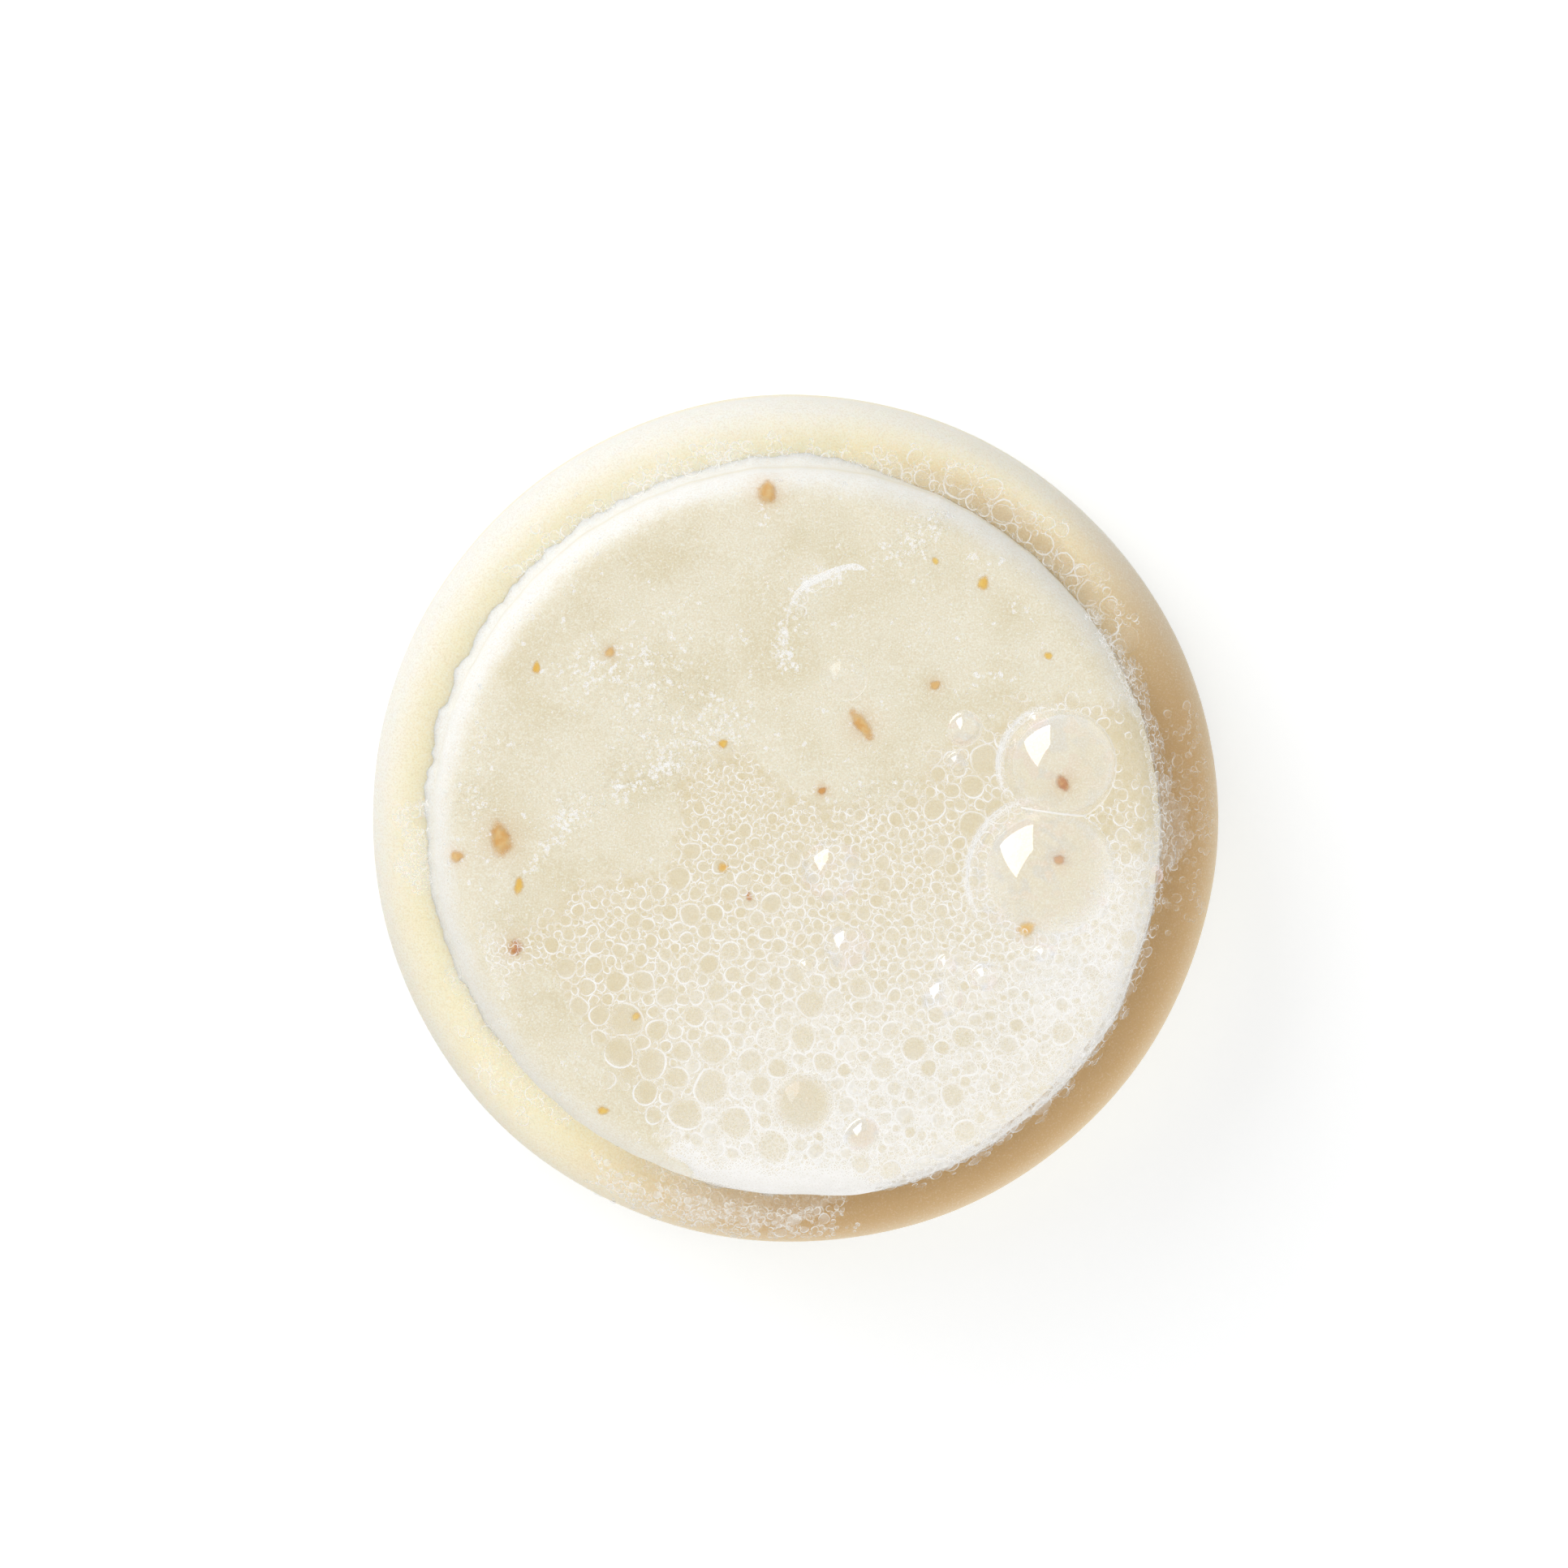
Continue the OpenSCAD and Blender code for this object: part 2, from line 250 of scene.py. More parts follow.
def soap_layer(layer, foot, foot_round, rings, segments, ragged=0.0, flare=None):
    """A turned layer: centre of the underside, its foot's quarter round, then the upper side going inwards.

    The outline wanders a little from the circle, by sines of the direction, and the upper side has the
    layer's own waviness. flare gives how far the wall runs out at its foot in a direction, in mm, along a
    hollow quarter round.
    """
    foot_rows, wall_rows, corner_rows = 7, 30, 26
    middle_r, inset, flare_h = 0.25, 0.12, 2.1
    angle = ring(segments)
    outer = layer.flat_r + layer.corner
    wall = layer.top - layer.corner - foot - foot_round
    bend = np.linspace(0, np.pi / 2, foot_rows) if foot_round else np.zeros(1)
    rho = np.concatenate([[outer * 0.5], outer - foot_round + foot_round * np.sin(bend)])[:, None]
    z = np.concatenate([[foot], foot + foot_round * (1 - np.cos(bend))])[:, None]
    low = np.stack(np.broadcast_arrays(rho * np.cos(angle), rho * np.sin(angle), z), -1)
    drop = wall * (1 - np.linspace(0.06, 1, wall_rows) ** 2)[:, None] + layer.wall_s
    bends = np.linspace(layer.wall_s, layer.flat_r, corner_rows)[1:, None]
    flat = np.linspace(layer.flat_r, middle_r, rings)[1:, None]
    s = np.concatenate([drop, bends, flat])
    rows = np.concatenate([low, layer.wrap(s * np.cos(angle), s * np.sin(angle))])
    wander = 0.11 * np.sin(angle * 3 + 1.1) + 0.08 * np.sin(angle * 5 + 0.3) + 0.05 * np.sin(angle * 11 + 2)
    wander += ragged * (np.sin(angle * 23 + 0.7) + np.sin(angle * 37 + 1.9) + np.sin(angle * 61))
    reach = np.hypot(rows[..., 0], rows[..., 1])
    by_rim = ease((reach - 0.9 * outer) / (0.1 * outer))
    rows[..., :2] *= (1 + (0.5 * wander - inset) * by_rim / outer)[..., None]
    if flare:
        up = np.clip((rows[..., 2] - foot) / flare_h, 0, 1)
        hollow = (1 - np.sqrt(1 - (1 - up) ** 2)) * (reach > 0.9 * outer)
        rows[..., :2] *= (1 + flare(angle) * hollow / reach)[..., None]
    top = layer.wrap(np.zeros(1), np.zeros(1))
    points = np.concatenate([[[0, 0, foot]], rows.reshape(-1, 3), top])
    return points, turned_faces(len(rows), segments)


def pressed(u, v, r, segments, spare=1.25, others=10, sharp=10):
    """How far each bubble reaches in each direction: to the line where it meets a neighbour, corners rounded.

    Two bubbles meet on the line from which their tangents are equally long. The reach is a power mean of
    the distances to those lines and of a little more than the bubble's own radius; sharp is its power.
    """
    spin = ring(segments)
    reach = np.empty((len(r), segments))
    for rows in np.array_split(np.arange(len(r)), len(r) // 400 + 1):
        own = r[rows, None]
        gap = np.hypot(u[rows, None] - u, v[rows, None] - v) - r
        gap[np.arange(len(rows)), rows] = FAR
        near = np.argpartition(gap, others, 1)[:, :others]
        du, dv = u[near] - u[rows, None], v[near] - v[rows, None]
        away = np.hypot(du, dv)
        meet = np.maximum((away ** 2 + own ** 2 - r[near] ** 2) / (2 * away), 0.3 * own)
        toward = np.maximum(np.cos(spin - np.arctan2(dv, du)[..., None]), 0)
        lines = ((toward / meet[..., None]) ** sharp).sum(1)
        reach[rows] = (lines + (spare * own) ** -float(sharp)) ** (-1 / sharp)
    return reach


def bubble_field(layer, u, v, r, reach, lift, wall, white, milk, rise, mids, seed=5):
    """Many bubbles that stand on a layer's side, each upright to it: crown, rings of its dome, wall, foot.

    The dome's height falls with the square of the distance from its middle. The wall is a low ring about as
    wide as the wall value, wider and whiter on some sides than on others. milk is the dome's whiteness, and
    mids is how many rings lie between crown and wall. Gives points, faces and each point's whiteness.
    """
    count, segments = reach.shape
    draw = np.random.default_rng(seed)
    spin = ring(segments)

    def wave(turns):
        return np.sin(turns * spin + draw.uniform(0, TURN, (count, 1)))

    uneven = wave(1) + 0.6 * wave(2)
    reach = reach * (1 + 0.05 * wave(2) + 0.035 * wave(3))
    thick = np.minimum(wall, 0.28 * r)[:, None] * (1 + 0.35 * uneven)
    bright = np.clip(white[:, None] * np.clip(0.75 + 0.45 * uneven, 0.2, 1.2), 0, 0.97)
    shade = milk[:, None] * (1 + 0.5 * np.clip(uneven, -1, 1))
    steps = np.arange(1, mids + 1) / (mids + 1)
    inner = reach - 1.3 * thick
    radius = [inner * step for step in steps] + [inner, reach - 0.75 * thick, reach + 0.04 * thick]
    height = [np.repeat((rise * r * (1 - step ** 2))[:, None], segments, 1) for step in steps]
    height += [0.12 * thick, 0.3 * thick, 0.05 * thick]
    cover = [shade] * (mids + 1) + [bright, 0.85 * bright]
    radius, height, cover = (np.stack(rows, 1) for rows in (radius, height, cover))
    out, side, up = layer.axes(u, v)
    foot = layer.wrap(u, v, lift)
    a, b = radius * np.cos(spin), radius * np.sin(spin)
    shell = (foot[:, None, None] + a[..., None] * out[:, None, None] + b[..., None] * side[:, None, None]
             + height[..., None] * up[:, None, None])
    crown = foot + (rise * r)[:, None] * up
    points = np.concatenate([crown[:, None], shell.reshape(count, -1, 3)], 1)
    covers = np.concatenate([milk[:, None], cover.reshape(count, -1)], 1)
    faces = copies(dome_faces(radius.shape[1], segments), count, points.shape[1])
    return points.reshape(-1, 3), faces, covers.ravel()


def round_reach(r, segments):
    """The reach of bubbles that nothing presses on."""
    return np.repeat(r[:, None], segments, 1)


def joined(parts):
    """Several meshes, each of points, faces and one value per point, as one."""
    start = np.cumsum([0] + [len(p[0]) for p in parts])
    faces = [f + s for p, s in zip(parts, start) for f in p[1]]
    return np.concatenate([p[0] for p in parts]), faces, np.concatenate([p[2] for p in parts])


def pack_bubbles(depth, middling, shares, fixed, half, seed, least, pitch=0.07):
    """Round bubbles dropped at random, from large to small, where there is room.

    depth is how far inside the patch a place lies, and middling the usual radius there. shares pairs a
    radius, as a multiple of the usual one, with the share of the patch that bubbles of that radius take up.
    Then the gaps are filled down to the least radius. fixed are bubbles that are already there. A map of
    the free distance is kept up to date as bubbles land, and bubbles may overlap a little.
    """
    tries, gap_radii = 60000, (0.34, 0.28, 0.23, 0.19, 0.16)
    draw = np.random.default_rng(seed)
    axis = np.arange(-half, half + pitch, pitch)
    gu, gv = np.meshgrid(axis, axis, indexing="ij")
    free = depth(gu, gv)
    usual = middling(gu, gv)
    found = []

    def land(u, v, r, reach):
        i0, i1, j0, j1 = np.clip(
            (np.array([u - reach, u + reach, v - reach, v + reach]) + half) / pitch, 0, len(axis)).astype(int)
        around = free[i0:i1, j0:j1]
        np.minimum(around, np.hypot(gu[i0:i1, j0:j1] - u, gv[i0:i1, j0:j1] - v) - r, out=around)

    def drop(spots, radii, most):
        area = 0.0
        for (i, j), r in zip(spots, radii):
            if free[i, j] >= r - min(0.08, 0.25 * r):
                found.append((axis[i], axis[j], r))
                land(axis[i], axis[j], r, 3 * r + 0.4)
                area += np.pi * r * r
                if area > most:
                    return

    for u, v, r in fixed:
        land(u, v, r, r + 3)
    patch = (free > 0).sum() * pitch ** 2
    for multiple, share in shares:
        spots = np.argwhere((free > 0.8 * multiple * usual) & (multiple * usual > least))
        spots = spots[draw.permutation(len(spots))[:tries]]
        radii = multiple * usual[spots[:, 0], spots[:, 1]] * draw.uniform(0.9, 1.1, len(spots))
        drop(spots, radii, share * patch)
    for r in gap_radii:
        if r >= least:
            spots = np.argwhere(free > 0.75 * r)
            drop(spots[draw.permutation(len(spots))], np.full(len(spots), r), FAR)
    return np.array(found)


def blend_zones(x, y, zones):
    """A value at a place: the mean of the zones' values, each weighted by a bell of the zone's own width."""
    zones = np.asarray(zones, float)
    x, y = np.asarray(x)[..., None] / FACE_R, np.asarray(y)[..., None] / FACE_R
    away = (x - zones[:, 0]) ** 2 + (y - zones[:, 1]) ** 2
    weight = np.exp(-away / (2 * zones[:, 2] ** 2)) + TINY
    return (weight * zones[:, 3]).sum(-1) / weight.sum(-1)


# Finishes

def tone(r, g, b):
    """A colour as it looks on a screen (0 to 255), made linear for the shader."""
    c = np.array([r, g, b]) / 255
    return tuple(np.where(c <= 0.04045, c / 12.92, ((c + 0.055) / 1.055) ** 2.4)) + (1.0,)


class Value:
    """A shader socket in Python expressions: every operator adds one Math node."""

    def __init__(self, finish, socket):
        self.finish, self.socket = finish, socket

    def math(self, operation, *terms):
        return self.finish.node("ShaderNodeMath", {"operation": operation}, dict(enumerate(terms)))

    def __add__(self, other):
        return self.math("ADD", self, other)

    def __sub__(self, other):
        return self.math("SUBTRACT", self, other)

    def __rsub__(self, other):
        return self.math("SUBTRACT", other, self)

    def __mul__(self, other):
        return self.math("MULTIPLY", self, other)

    __radd__, __rmul__ = __add__, __mul__

    def most(self, other):
        return self.math("MAXIMUM", self, other)

    def least(self, other):
        return self.math("MINIMUM", self, other)

    def between(self, low, high):
        """0 below low, 1 above high, and smooth between."""
        return self.finish.node(
            "ShaderNodeMapRange", {"interpolation_type": "SMOOTHSTEP"}, {0: self, 1: low, 2: high})


class Finish:
    """The nodes of a material, or of the world, and the one way in which they are made."""

    def __init__(self, name, owner=None):
        self.owner = owner or bpy.data.materials.new(name)
        self.owner.use_nodes = True
        self.tree = self.owner.node_tree
        self.tree.nodes.clear()
        self.spot = None

    def node(self, kind, settings=None, sockets=None, out=0):
        """Adds a node: its type, its settings, its sockets' values or links, and the output to give back."""
        node = self.tree.nodes.new(kind)
        for key, value in (settings or {}).items():
            setattr(node, key, value)
        for key, value in (sockets or {}).items():
            if isinstance(value, Value):
                self.tree.links.new(value.socket, node.inputs[key])
            else:
                node.inputs[key].default_value = value
        return Value(self, node.outputs[out]) if node.outputs else None

    def place(self):
        """Object coordinates in millimetres."""
        if self.spot is None:
            where = self.node("ShaderNodeTexCoord", out="Object")
            self.spot = self.node("ShaderNodeVectorMath", {"operation": "SCALE"}, {0: where, "Scale": 1 / MM})
        return self.spot

    def field(self, name):
        """A value that the piece's points carry."""
        return self.node("ShaderNodeAttribute", {"attribute_name": name}, out="Fac")

    def noise(self, scale, detail=3.0, roughness=0.55):
        return self.node("ShaderNodeTexNoise", None, {
            "Vector": self.place(), "Scale": scale, "Detail": detail, "Roughness": roughness})

    def net(self, scale):
        """Distance to the walls of a net of cells."""
        return self.node("ShaderNodeTexVoronoi", {"feature": "DISTANCE_TO_EDGE"}, {
            "Vector": self.place(), "Scale": scale})

    def mix(self, a, b, share):
        """Colour a going over to colour b."""
        return self.node("ShaderNodeMix", {"data_type": "RGBA"}, {0: share, 6: a, 7: b}, out=2)

    def bump(self, height, distance, strength=1.0):
        return self.node("ShaderNodeBump", None, {
            "Height": height, "Distance": distance * MM, "Strength": strength}, out="Normal")

    def soft(self, share):
        """The surface's own direction leaning towards straight up.

        Light that wanders in froth evens out its shade in this way.
        """
        own = self.node("ShaderNodeNewGeometry", out="Normal")
        lean = self.node("ShaderNodeVectorMath", {"operation": "SCALE"}, {0: own, "Scale": 1 - share})
        return self.node("ShaderNodeVectorMath", {"operation": "ADD"}, {0: lean, 1: (0, 0, share)})

    def surface(self, **sockets):
        """The material's Principled surface, with socket names written with underscores."""
        named = {key.replace("_", " "): value for key, value in sockets.items()}
        return self.node("ShaderNodeBsdfPrincipled", None, named)

    def looked_at(self):
        """1 for a ray from the camera, straight or by way of gloss or glass, and 0 for any other."""
        straight, gloss, glass = (self.node("ShaderNodeLightPath", out=kind) for kind in (
            "Is Camera Ray", "Is Glossy Ray", "Is Transmission Ray"))
        return straight.most(gloss).most(glass)

    def see_through(self, surface, share):
        """A surface of which only a share stays, mixed with clear."""
        clear = self.node("ShaderNodeBsdfTransparent")
        return self.node("ShaderNodeMixShader", None, {0: share, 1: clear, 2: surface})

    def done(self, shader, owner_kind="Material"):
        self.node("ShaderNodeOutput" + owner_kind, None, {"Surface": shader})
        return self.owner


def soap_finish(name, body, deep, pale, wet, stain, glow, depth):
    """Hard soap: soft mottling, fine grain, warm stains round the flakes, and a pale edge that is partly worn
    and partly painted light on the side facing the key lamp. On the base layer the wet tone is a painted
    shadow and the stain is painted light along the corner by the wall.
    """
    f = Finish(name)
    cloud = f.noise(0.16, 4)
    grain = f.noise(6.5, 2, 0.7)
    wet_share, rough = f.field("wet"), f.field("rough")
    colour = f.mix(deep, body, cloud.between(0.25, 0.62))
    colour = f.mix(colour, pale, f.field("bloom"))
    colour = f.mix(colour, stain, f.field("stain"))
    colour = f.mix(colour, wet, wet_share)
    colour = f.mix(colour, tone(196, 170, 128), (1 - grain.between(0.25, 0.6)) * (0.26 - 0.14 * wet_share))
    colour = f.mix(colour, pale, grain.between(0.5, 0.75) * (0.7 - 0.5 * wet_share))
    pits = f.noise(1.6, 3)
    ridges = f.noise(1.3, 3, 0.6).between(0.5, 0.68) * rough
    return f.done(f.surface(
        Base_Color=colour, Roughness=0.4 + 0.2 * pits - 0.2 * ridges,
        Normal=f.bump(grain * 0.6 + pits + ridges * 1.8, 0.10, 0.5),
        Subsurface_Weight=0.6, Subsurface_Radius=glow, Subsurface_Scale=depth * MM, Specular_IOR_Level=0.35))


def flake_finish(name, dark, light):
    """Wet dried plant: two tones in short streaks, thinning out into the soap at its edge."""
    f = Finish(name)
    streak = f.noise(1.5, 3)
    colour = f.mix(dark, light, streak.between(0.35, 0.65).most(1 - f.field("tint")))
    edge = f.field("edge") + 0.5 * (streak - 0.5)
    return f.done(f.surface(
        Base_Color=colour, Roughness=0.45, Alpha=0.86 - 0.86 * edge.between(0.28, 1.0),
        Normal=f.bump(streak, 0.10, 0.4)))


def lather_finish():
    """Froth between the bubbles: white, see-through where thin, with a net of the finest cells in it."""
    f = Finish("lather")
    line = 1 - f.net(2.4).between(0.02, 0.14) * (0.35 + 0.65 * f.net(4.4).between(0.02, 0.18))
    haze = f.field("haze")
    cover = haze * (0.40 + 0.65 * line) + 0.25 * haze * haze
    return f.done(f.surface(
        Base_Color=f.mix(tone(251, 251, 250), tone(247, 247, 245), f.noise(0.8, 2).between(0.35, 0.65)),
        Roughness=0.6, Alpha=cover.least(0.96), Normal=f.soft(0.35),
        Specular_IOR_Level=0.3))


def cell_finish():
    """Small bubbles: nothing but their walls of white froth."""
    f = Finish("cell_walls")
    return f.done(f.surface(
        Base_Color=f.mix(tone(253, 253, 251), tone(249, 248, 245), f.noise(1.2, 2).between(0.35, 0.65)),
        Roughness=0.45, Alpha=f.field("white"), Normal=f.soft(0.7),
        Specular_IOR_Level=0.3))


def bubble_finish():
    """Large bubbles: a clear film that mirrors the lamps, more so at a slant, inside walls of white froth.

    The film's colour wanders a little between warm and cool, as thin soap film does.
    """
    f = Finish("bubble_film")
    white = f.field("white")
    hue = f.mix(tone(255, 255, 255), tone(255, 252, 244), f.noise(0.45, 1).between(0.44, 0.62))
    hue = f.mix(hue, tone(222, 231, 255), f.noise(0.55, 1).between(0.47, 0.63))
    hue = f.mix(hue, tone(255, 238, 245), f.noise(0.65, 1).between(0.5, 0.64))
    froth = white.between(0.04, 0.22)
    mirror = (f.node("ShaderNodeFresnel", None, {"IOR": 1.33}) * 7.0).least(0.26) * f.field("film")
    film = f.surface(
        Base_Color=f.mix(hue, tone(249, 248, 244), froth), Metallic=1 - froth, Roughness=0.03 + 0.4 * froth)
    return f.done(f.see_through(film, mirror.most(white)))


# The base layer's wet-and-shadow tone is a painted shadow, the tan brown of the ledge in shade. Its stain
# tone is painted light, a warm yellow for the corner along the wall. Its pale tone also carries painted light
# on the lit edge.
SOAP_BASE = soap_finish(
    "soap_base", body=tone(248, 241, 217), deep=tone(247, 237, 205), pale=tone(243, 242, 235),
    wet=tone(198, 167, 122), stain=tone(255, 243, 205), glow=(1.0, 0.82, 0.64), depth=2.6)
SOAP_FACE = soap_finish(
    "soap_face", body=tone(238, 233, 214), deep=tone(229, 221, 194), pale=tone(248, 248, 244),
    wet=tone(226, 214, 180), stain=tone(220, 176, 112), glow=(1.0, 0.92, 0.84), depth=1.6)
TAN = flake_finish("tan_flake", tone(222, 171, 98), tone(232, 196, 134))
GOLD = flake_finish("gold_flake", tone(233, 179, 66), tone(240, 204, 108))
BROWN = flake_finish("brown_flake", tone(188, 115, 50), tone(220, 168, 98))
LATHER = lather_finish()
CELL = cell_finish()
BUBBLE = bubble_finish()


def froth_piece(name, froth, nodes=(), slot="film"):
    """A piece of small bubbles, from points, faces and each point's whiteness."""
    points, faces, white = froth
    make_piece(name, points, faces, CELL, slot, nodes, shade=False, white=white)


def film_piece(name, bubbles, mirror, nodes=()):
    """A piece of clear bubbles; mirror is how well the film mirrors, for all points or for each."""
    points, faces, white = bubbles
    make_piece(name, points, faces, BUBBLE, "film", nodes, shade=False, white=white, film=mirror + 0 * white)


# Soap and flakes

def stain_near(x, y, flakes, spread):
    """Warm stain in the soap around flakes: a bell a little wider than each flake."""
    x, y = x[..., None], y[..., None]
    size = np.sqrt(flakes[:, 2] * flakes[:, 3]) / 2 * spread
    away = np.hypot(x - flakes[:, 0] * FACE_R, y - flakes[:, 1] * FACE_R)
    return np.exp(-(away / size) ** 2).max(-1)


def facing(x, y, way):
    """Half a cosine: 1 on the side of the puck that looks along a direction in degrees, 0 on the far side."""
    return 0.5 + 0.5 * np.cos(np.arctan2(y, x) - math.radians(way))


points, faces = soap_layer(LEDGE, 0.0, FOOT_ROUND, rings=90, segments=320)
x, y, z = points.T
rho = np.hypot(x, y)
# A pale rim: a little worn paleness all round, and mostly painted light at the upper left, the side that
# faces the key lamp
bloom = ease((rho - BASE_R + 3.2 + 2.0 * facing(x, y, 95)) / 4.4) * ease((z - 3) / 6)
bloom *= 0.1 + 0.9 * facing(x, y, 130) ** 1.4
# Painted shadow: the ledge at the lower right, in the shade of the upper layer, and the ledge beside the wall
# on the right get the tan brown that the soap shows in shade
painted_shadow = ease((facing(x, y, -36) - 0.46) / 0.38) * ease((z - BASE_H + 7) / 5)
painted_shadow *= ease((BASE_R + 3.4 - rho) / 5.6)
shadow_by_wall = 0.62 * ease((facing(x, y, 12) - 0.62) / 0.25) * ease((FACE_R + 3.6 - rho) / 3.0)
# Painted light: a warmer, brighter yellow on the ledge along the wall offsets the shade in the corner. It is
# strongest at the upper right, where the key lamp lights the ledge least.
inner = 0.65 - 0.2 * facing(x, y, 110) + 0.5 * ease((facing(x, y, 40) - 0.75) / 0.2)
inner *= ease((FACE_R + 5.2 - rho) / 4.6) * (z > BASE_H - 1)
make_piece("base_layer_soap", points, faces, SOAP_BASE, "soap_base", ["base_layer"],
           bloom=bloom, wet=np.maximum(painted_shadow, shadow_by_wall), stain=inner, rough=0 * rho)


def flakes(name, places, finish, slot, seed, tint):
    """Lens-shaped flakes sunk in the face: ovals with one narrower end and a ragged edge, crowned a little.

    The crown falls with the square of the share of the way from a flake's middle to its edge. tint is how
    dark each flake is.
    """
    crown, brim, sink, larger, taper = 0.05, 0.012, 0.5, 1.15, 0.15
    draw = np.random.default_rng(seed)
    count, rings, segments = len(places), 5, 22
    share = np.linspace(0, 1, rings + 1)[1:]
    a = ring(segments)
    ragged = (1 + 0.06 * np.sin(3 * a + draw.uniform(0, TURN, (count, 1)))
              + 0.03 * np.sin(5 * a + draw.uniform(0, TURN, (count, 1))))
    length, width = places[:, 2:3] / 2 * larger, places[:, 3:4] / 2 * larger
    p = length * np.cos(a) * ragged
    q = width * np.sin(a) * (1 - taper * np.cos(a)) * ragged
    turn = np.radians(places[:, 4:5])
    u0, v0 = FACE.unroll(places[:, 0:1] * FACE_R, places[:, 1:2] * FACE_R)
    du = (p * np.cos(turn) - q * np.sin(turn))[:, None] * share[:, None]
    dv = (p * np.sin(turn) + q * np.cos(turn))[:, None] * share[:, None]
    u, v = u0[..., None] + du, v0[..., None] + dv
    height = (crown * (1 - share ** 2) + brim)[None, :, None]
    upper = FACE.wrap(u, v, np.broadcast_to(height, u.shape))
    peak = FACE.wrap(u0[:, 0], v0[:, 0], crown + brim)
    under = FACE.wrap(u0[:, 0], v0[:, 0], -sink)
    rows = upper[:, ::-1].reshape(count, -1, 3)
    points = np.concatenate([under[:, None], rows, peak[:, None]], 1)
    edge = np.concatenate([[1.0], np.repeat(share[::-1], segments), [0.0]])
    faces = copies(turned_faces(rings, segments), count, points.shape[1])
    make_piece(name, points, faces, finish, slot, [name.replace("_set", "")],
               edge=np.tile(edge, count), tint=np.repeat(tint, len(edge)))


flakes("tan_flakes_set", TAN_FLAKES, TAN, "tan_flake", 11, [1, 1, 1, 0.6, 0.3, 0.4])
flakes("gold_flakes_set", GOLD_FLAKES, GOLD, "gold_flake", 12, [0.8, 0.6, 0.8, 1, 0.5, 0.8, 0.7, 1, 0.3, 0.6])
flakes("brown_flakes_set", BROWN_FLAKES, BROWN, "brown_flake", 13, [1, 1, 0.15, 0.6, 0.25])


# Lather on the face

# The lather's edge on the face, in face radii, going round from the left along the top
LATHER_EDGE = np.array([
    [-0.90, -0.27], [-0.86, -0.23], [-0.74, -0.25], [-0.63, -0.14], [-0.55, -0.10], [-0.44, -0.09],
    [-0.38, -0.10], [-0.34, 0.00], [-0.35, 0.12], [-0.29, 0.21], [-0.21, 0.26], [-0.12, 0.24],
    [-0.06, 0.16], [0.00, 0.11], [0.09, 0.10], [0.22, 0.10], [0.33, 0.13], [0.36, 0.22], [0.40, 0.27],
    [0.51, 0.28], [0.55, 0.33], [0.62, 0.38], [0.75, 0.40], [0.87, 0.37], [0.92, 0.36], [0.86, 0.48],
    [0.84, 0.54], [1.00, 0.66], [1.30, 0.40], [1.30, -0.40], [1.00, -1.00], [0.30, -1.30],
    [-0.20, -1.20], [-0.28, -0.96], [-0.35, -0.88], [-0.42, -0.78], [-0.51, -0.66], [-0.60, -0.55],
    [-0.65, -0.44], [-0.70, -0.38], [-0.77, -0.43], [-0.87, -0.42], [-0.92, -0.34]]) * FACE_R
# How large the lather's bubbles usually are, in mm, then how white the lather is: x, y and width in face
# radii, then the value
USUAL = [
    (-0.20, 0.15, 0.12, 0.28), (0.10, 0.02, 0.12, 0.34), (-0.80, -0.33, 0.10, 0.30),
    (-0.52, -0.18, 0.12, 0.44), (-0.30, -0.25, 0.16, 0.52), (-0.42, -0.45, 0.12, 0.70),
    (-0.50, -0.66, 0.10, 1.10), (-0.20, -0.62, 0.14, 0.78), (0.05, -0.42, 0.16, 0.55),
    (0.10, -0.80, 0.12, 0.82), (-0.18, -0.86, 0.10, 0.95), (0.32, -0.18, 0.14, 0.40),
    (0.46, 0.18, 0.10, 0.66), (0.65, -0.50, 0.18, 0.44), (0.45, -0.78, 0.14, 0.50),
    (0.92, 0.15, 0.10, 0.46), (0.68, 0.38, 0.08, 0.55), (0.90, 0.45, 0.08, 0.45)]
WHITE = [
    (-0.18, 0.12, 0.14, 0.24), (-0.80, -0.33, 0.12, 0.20), (-0.50, -0.22, 0.16, 0.32),
    (-0.55, -0.65, 0.14, 0.22), (-0.30, -0.50, 0.14, 0.48), (-0.18, -0.66, 0.14, 0.68),
    (0.05, -0.28, 0.16, 0.40), (0.05, -0.50, 0.14, 0.68), (0.00, -0.85, 0.18, 0.95),
    (-0.12, -0.98, 0.07, 1.0), (0.10, -0.98, 0.07, 1.0), (0.30, -0.10, 0.12, 0.36),
    (0.42, -0.30, 0.10, 0.55), (0.46, 0.18, 0.10, 0.32), (0.45, -0.55, 0.18, 0.66),
    (0.80, -0.45, 0.16, 1.0), (0.35, -0.80, 0.14, 0.97), (0.93, 0.12, 0.09, 0.28),
    (0.93, -0.12, 0.08, 0.70), (0.90, 0.30, 0.08, 0.22), (0.72, 0.08, 0.12, 0.10),
    (0.64, -0.18, 0.09, 0.16), (0.72, 0.36, 0.07, 0.40)]


def lather_reach(u, v, calm=0.0):
    """How far short of the lather's lower end a place is, in mm.

    The end lies past the shoulder at the lower right and short of it on the left, and three sines make it
    hang unevenly. calm keeps clear of the smooth band along the bottom.
    """
    angle = np.arctan2(v, u)
    hang = 1.0 + 0.5 * np.sin(9 * angle) + 0.35 * np.sin(23 * angle + 1) + 0.2 * np.sin(41 * angle)
    side = ease((np.cos(angle + 0.62) - 0.1) / 0.3)
    stop = FACE.flat_r + side * (FACE.wall_s - FACE.flat_r + hang) + (1 - side) * 0.6
    low = ease((np.cos(angle + 1.64) - 0.92) / 0.06)
    return stop - calm * low * 5.2 - np.hypot(u, v)


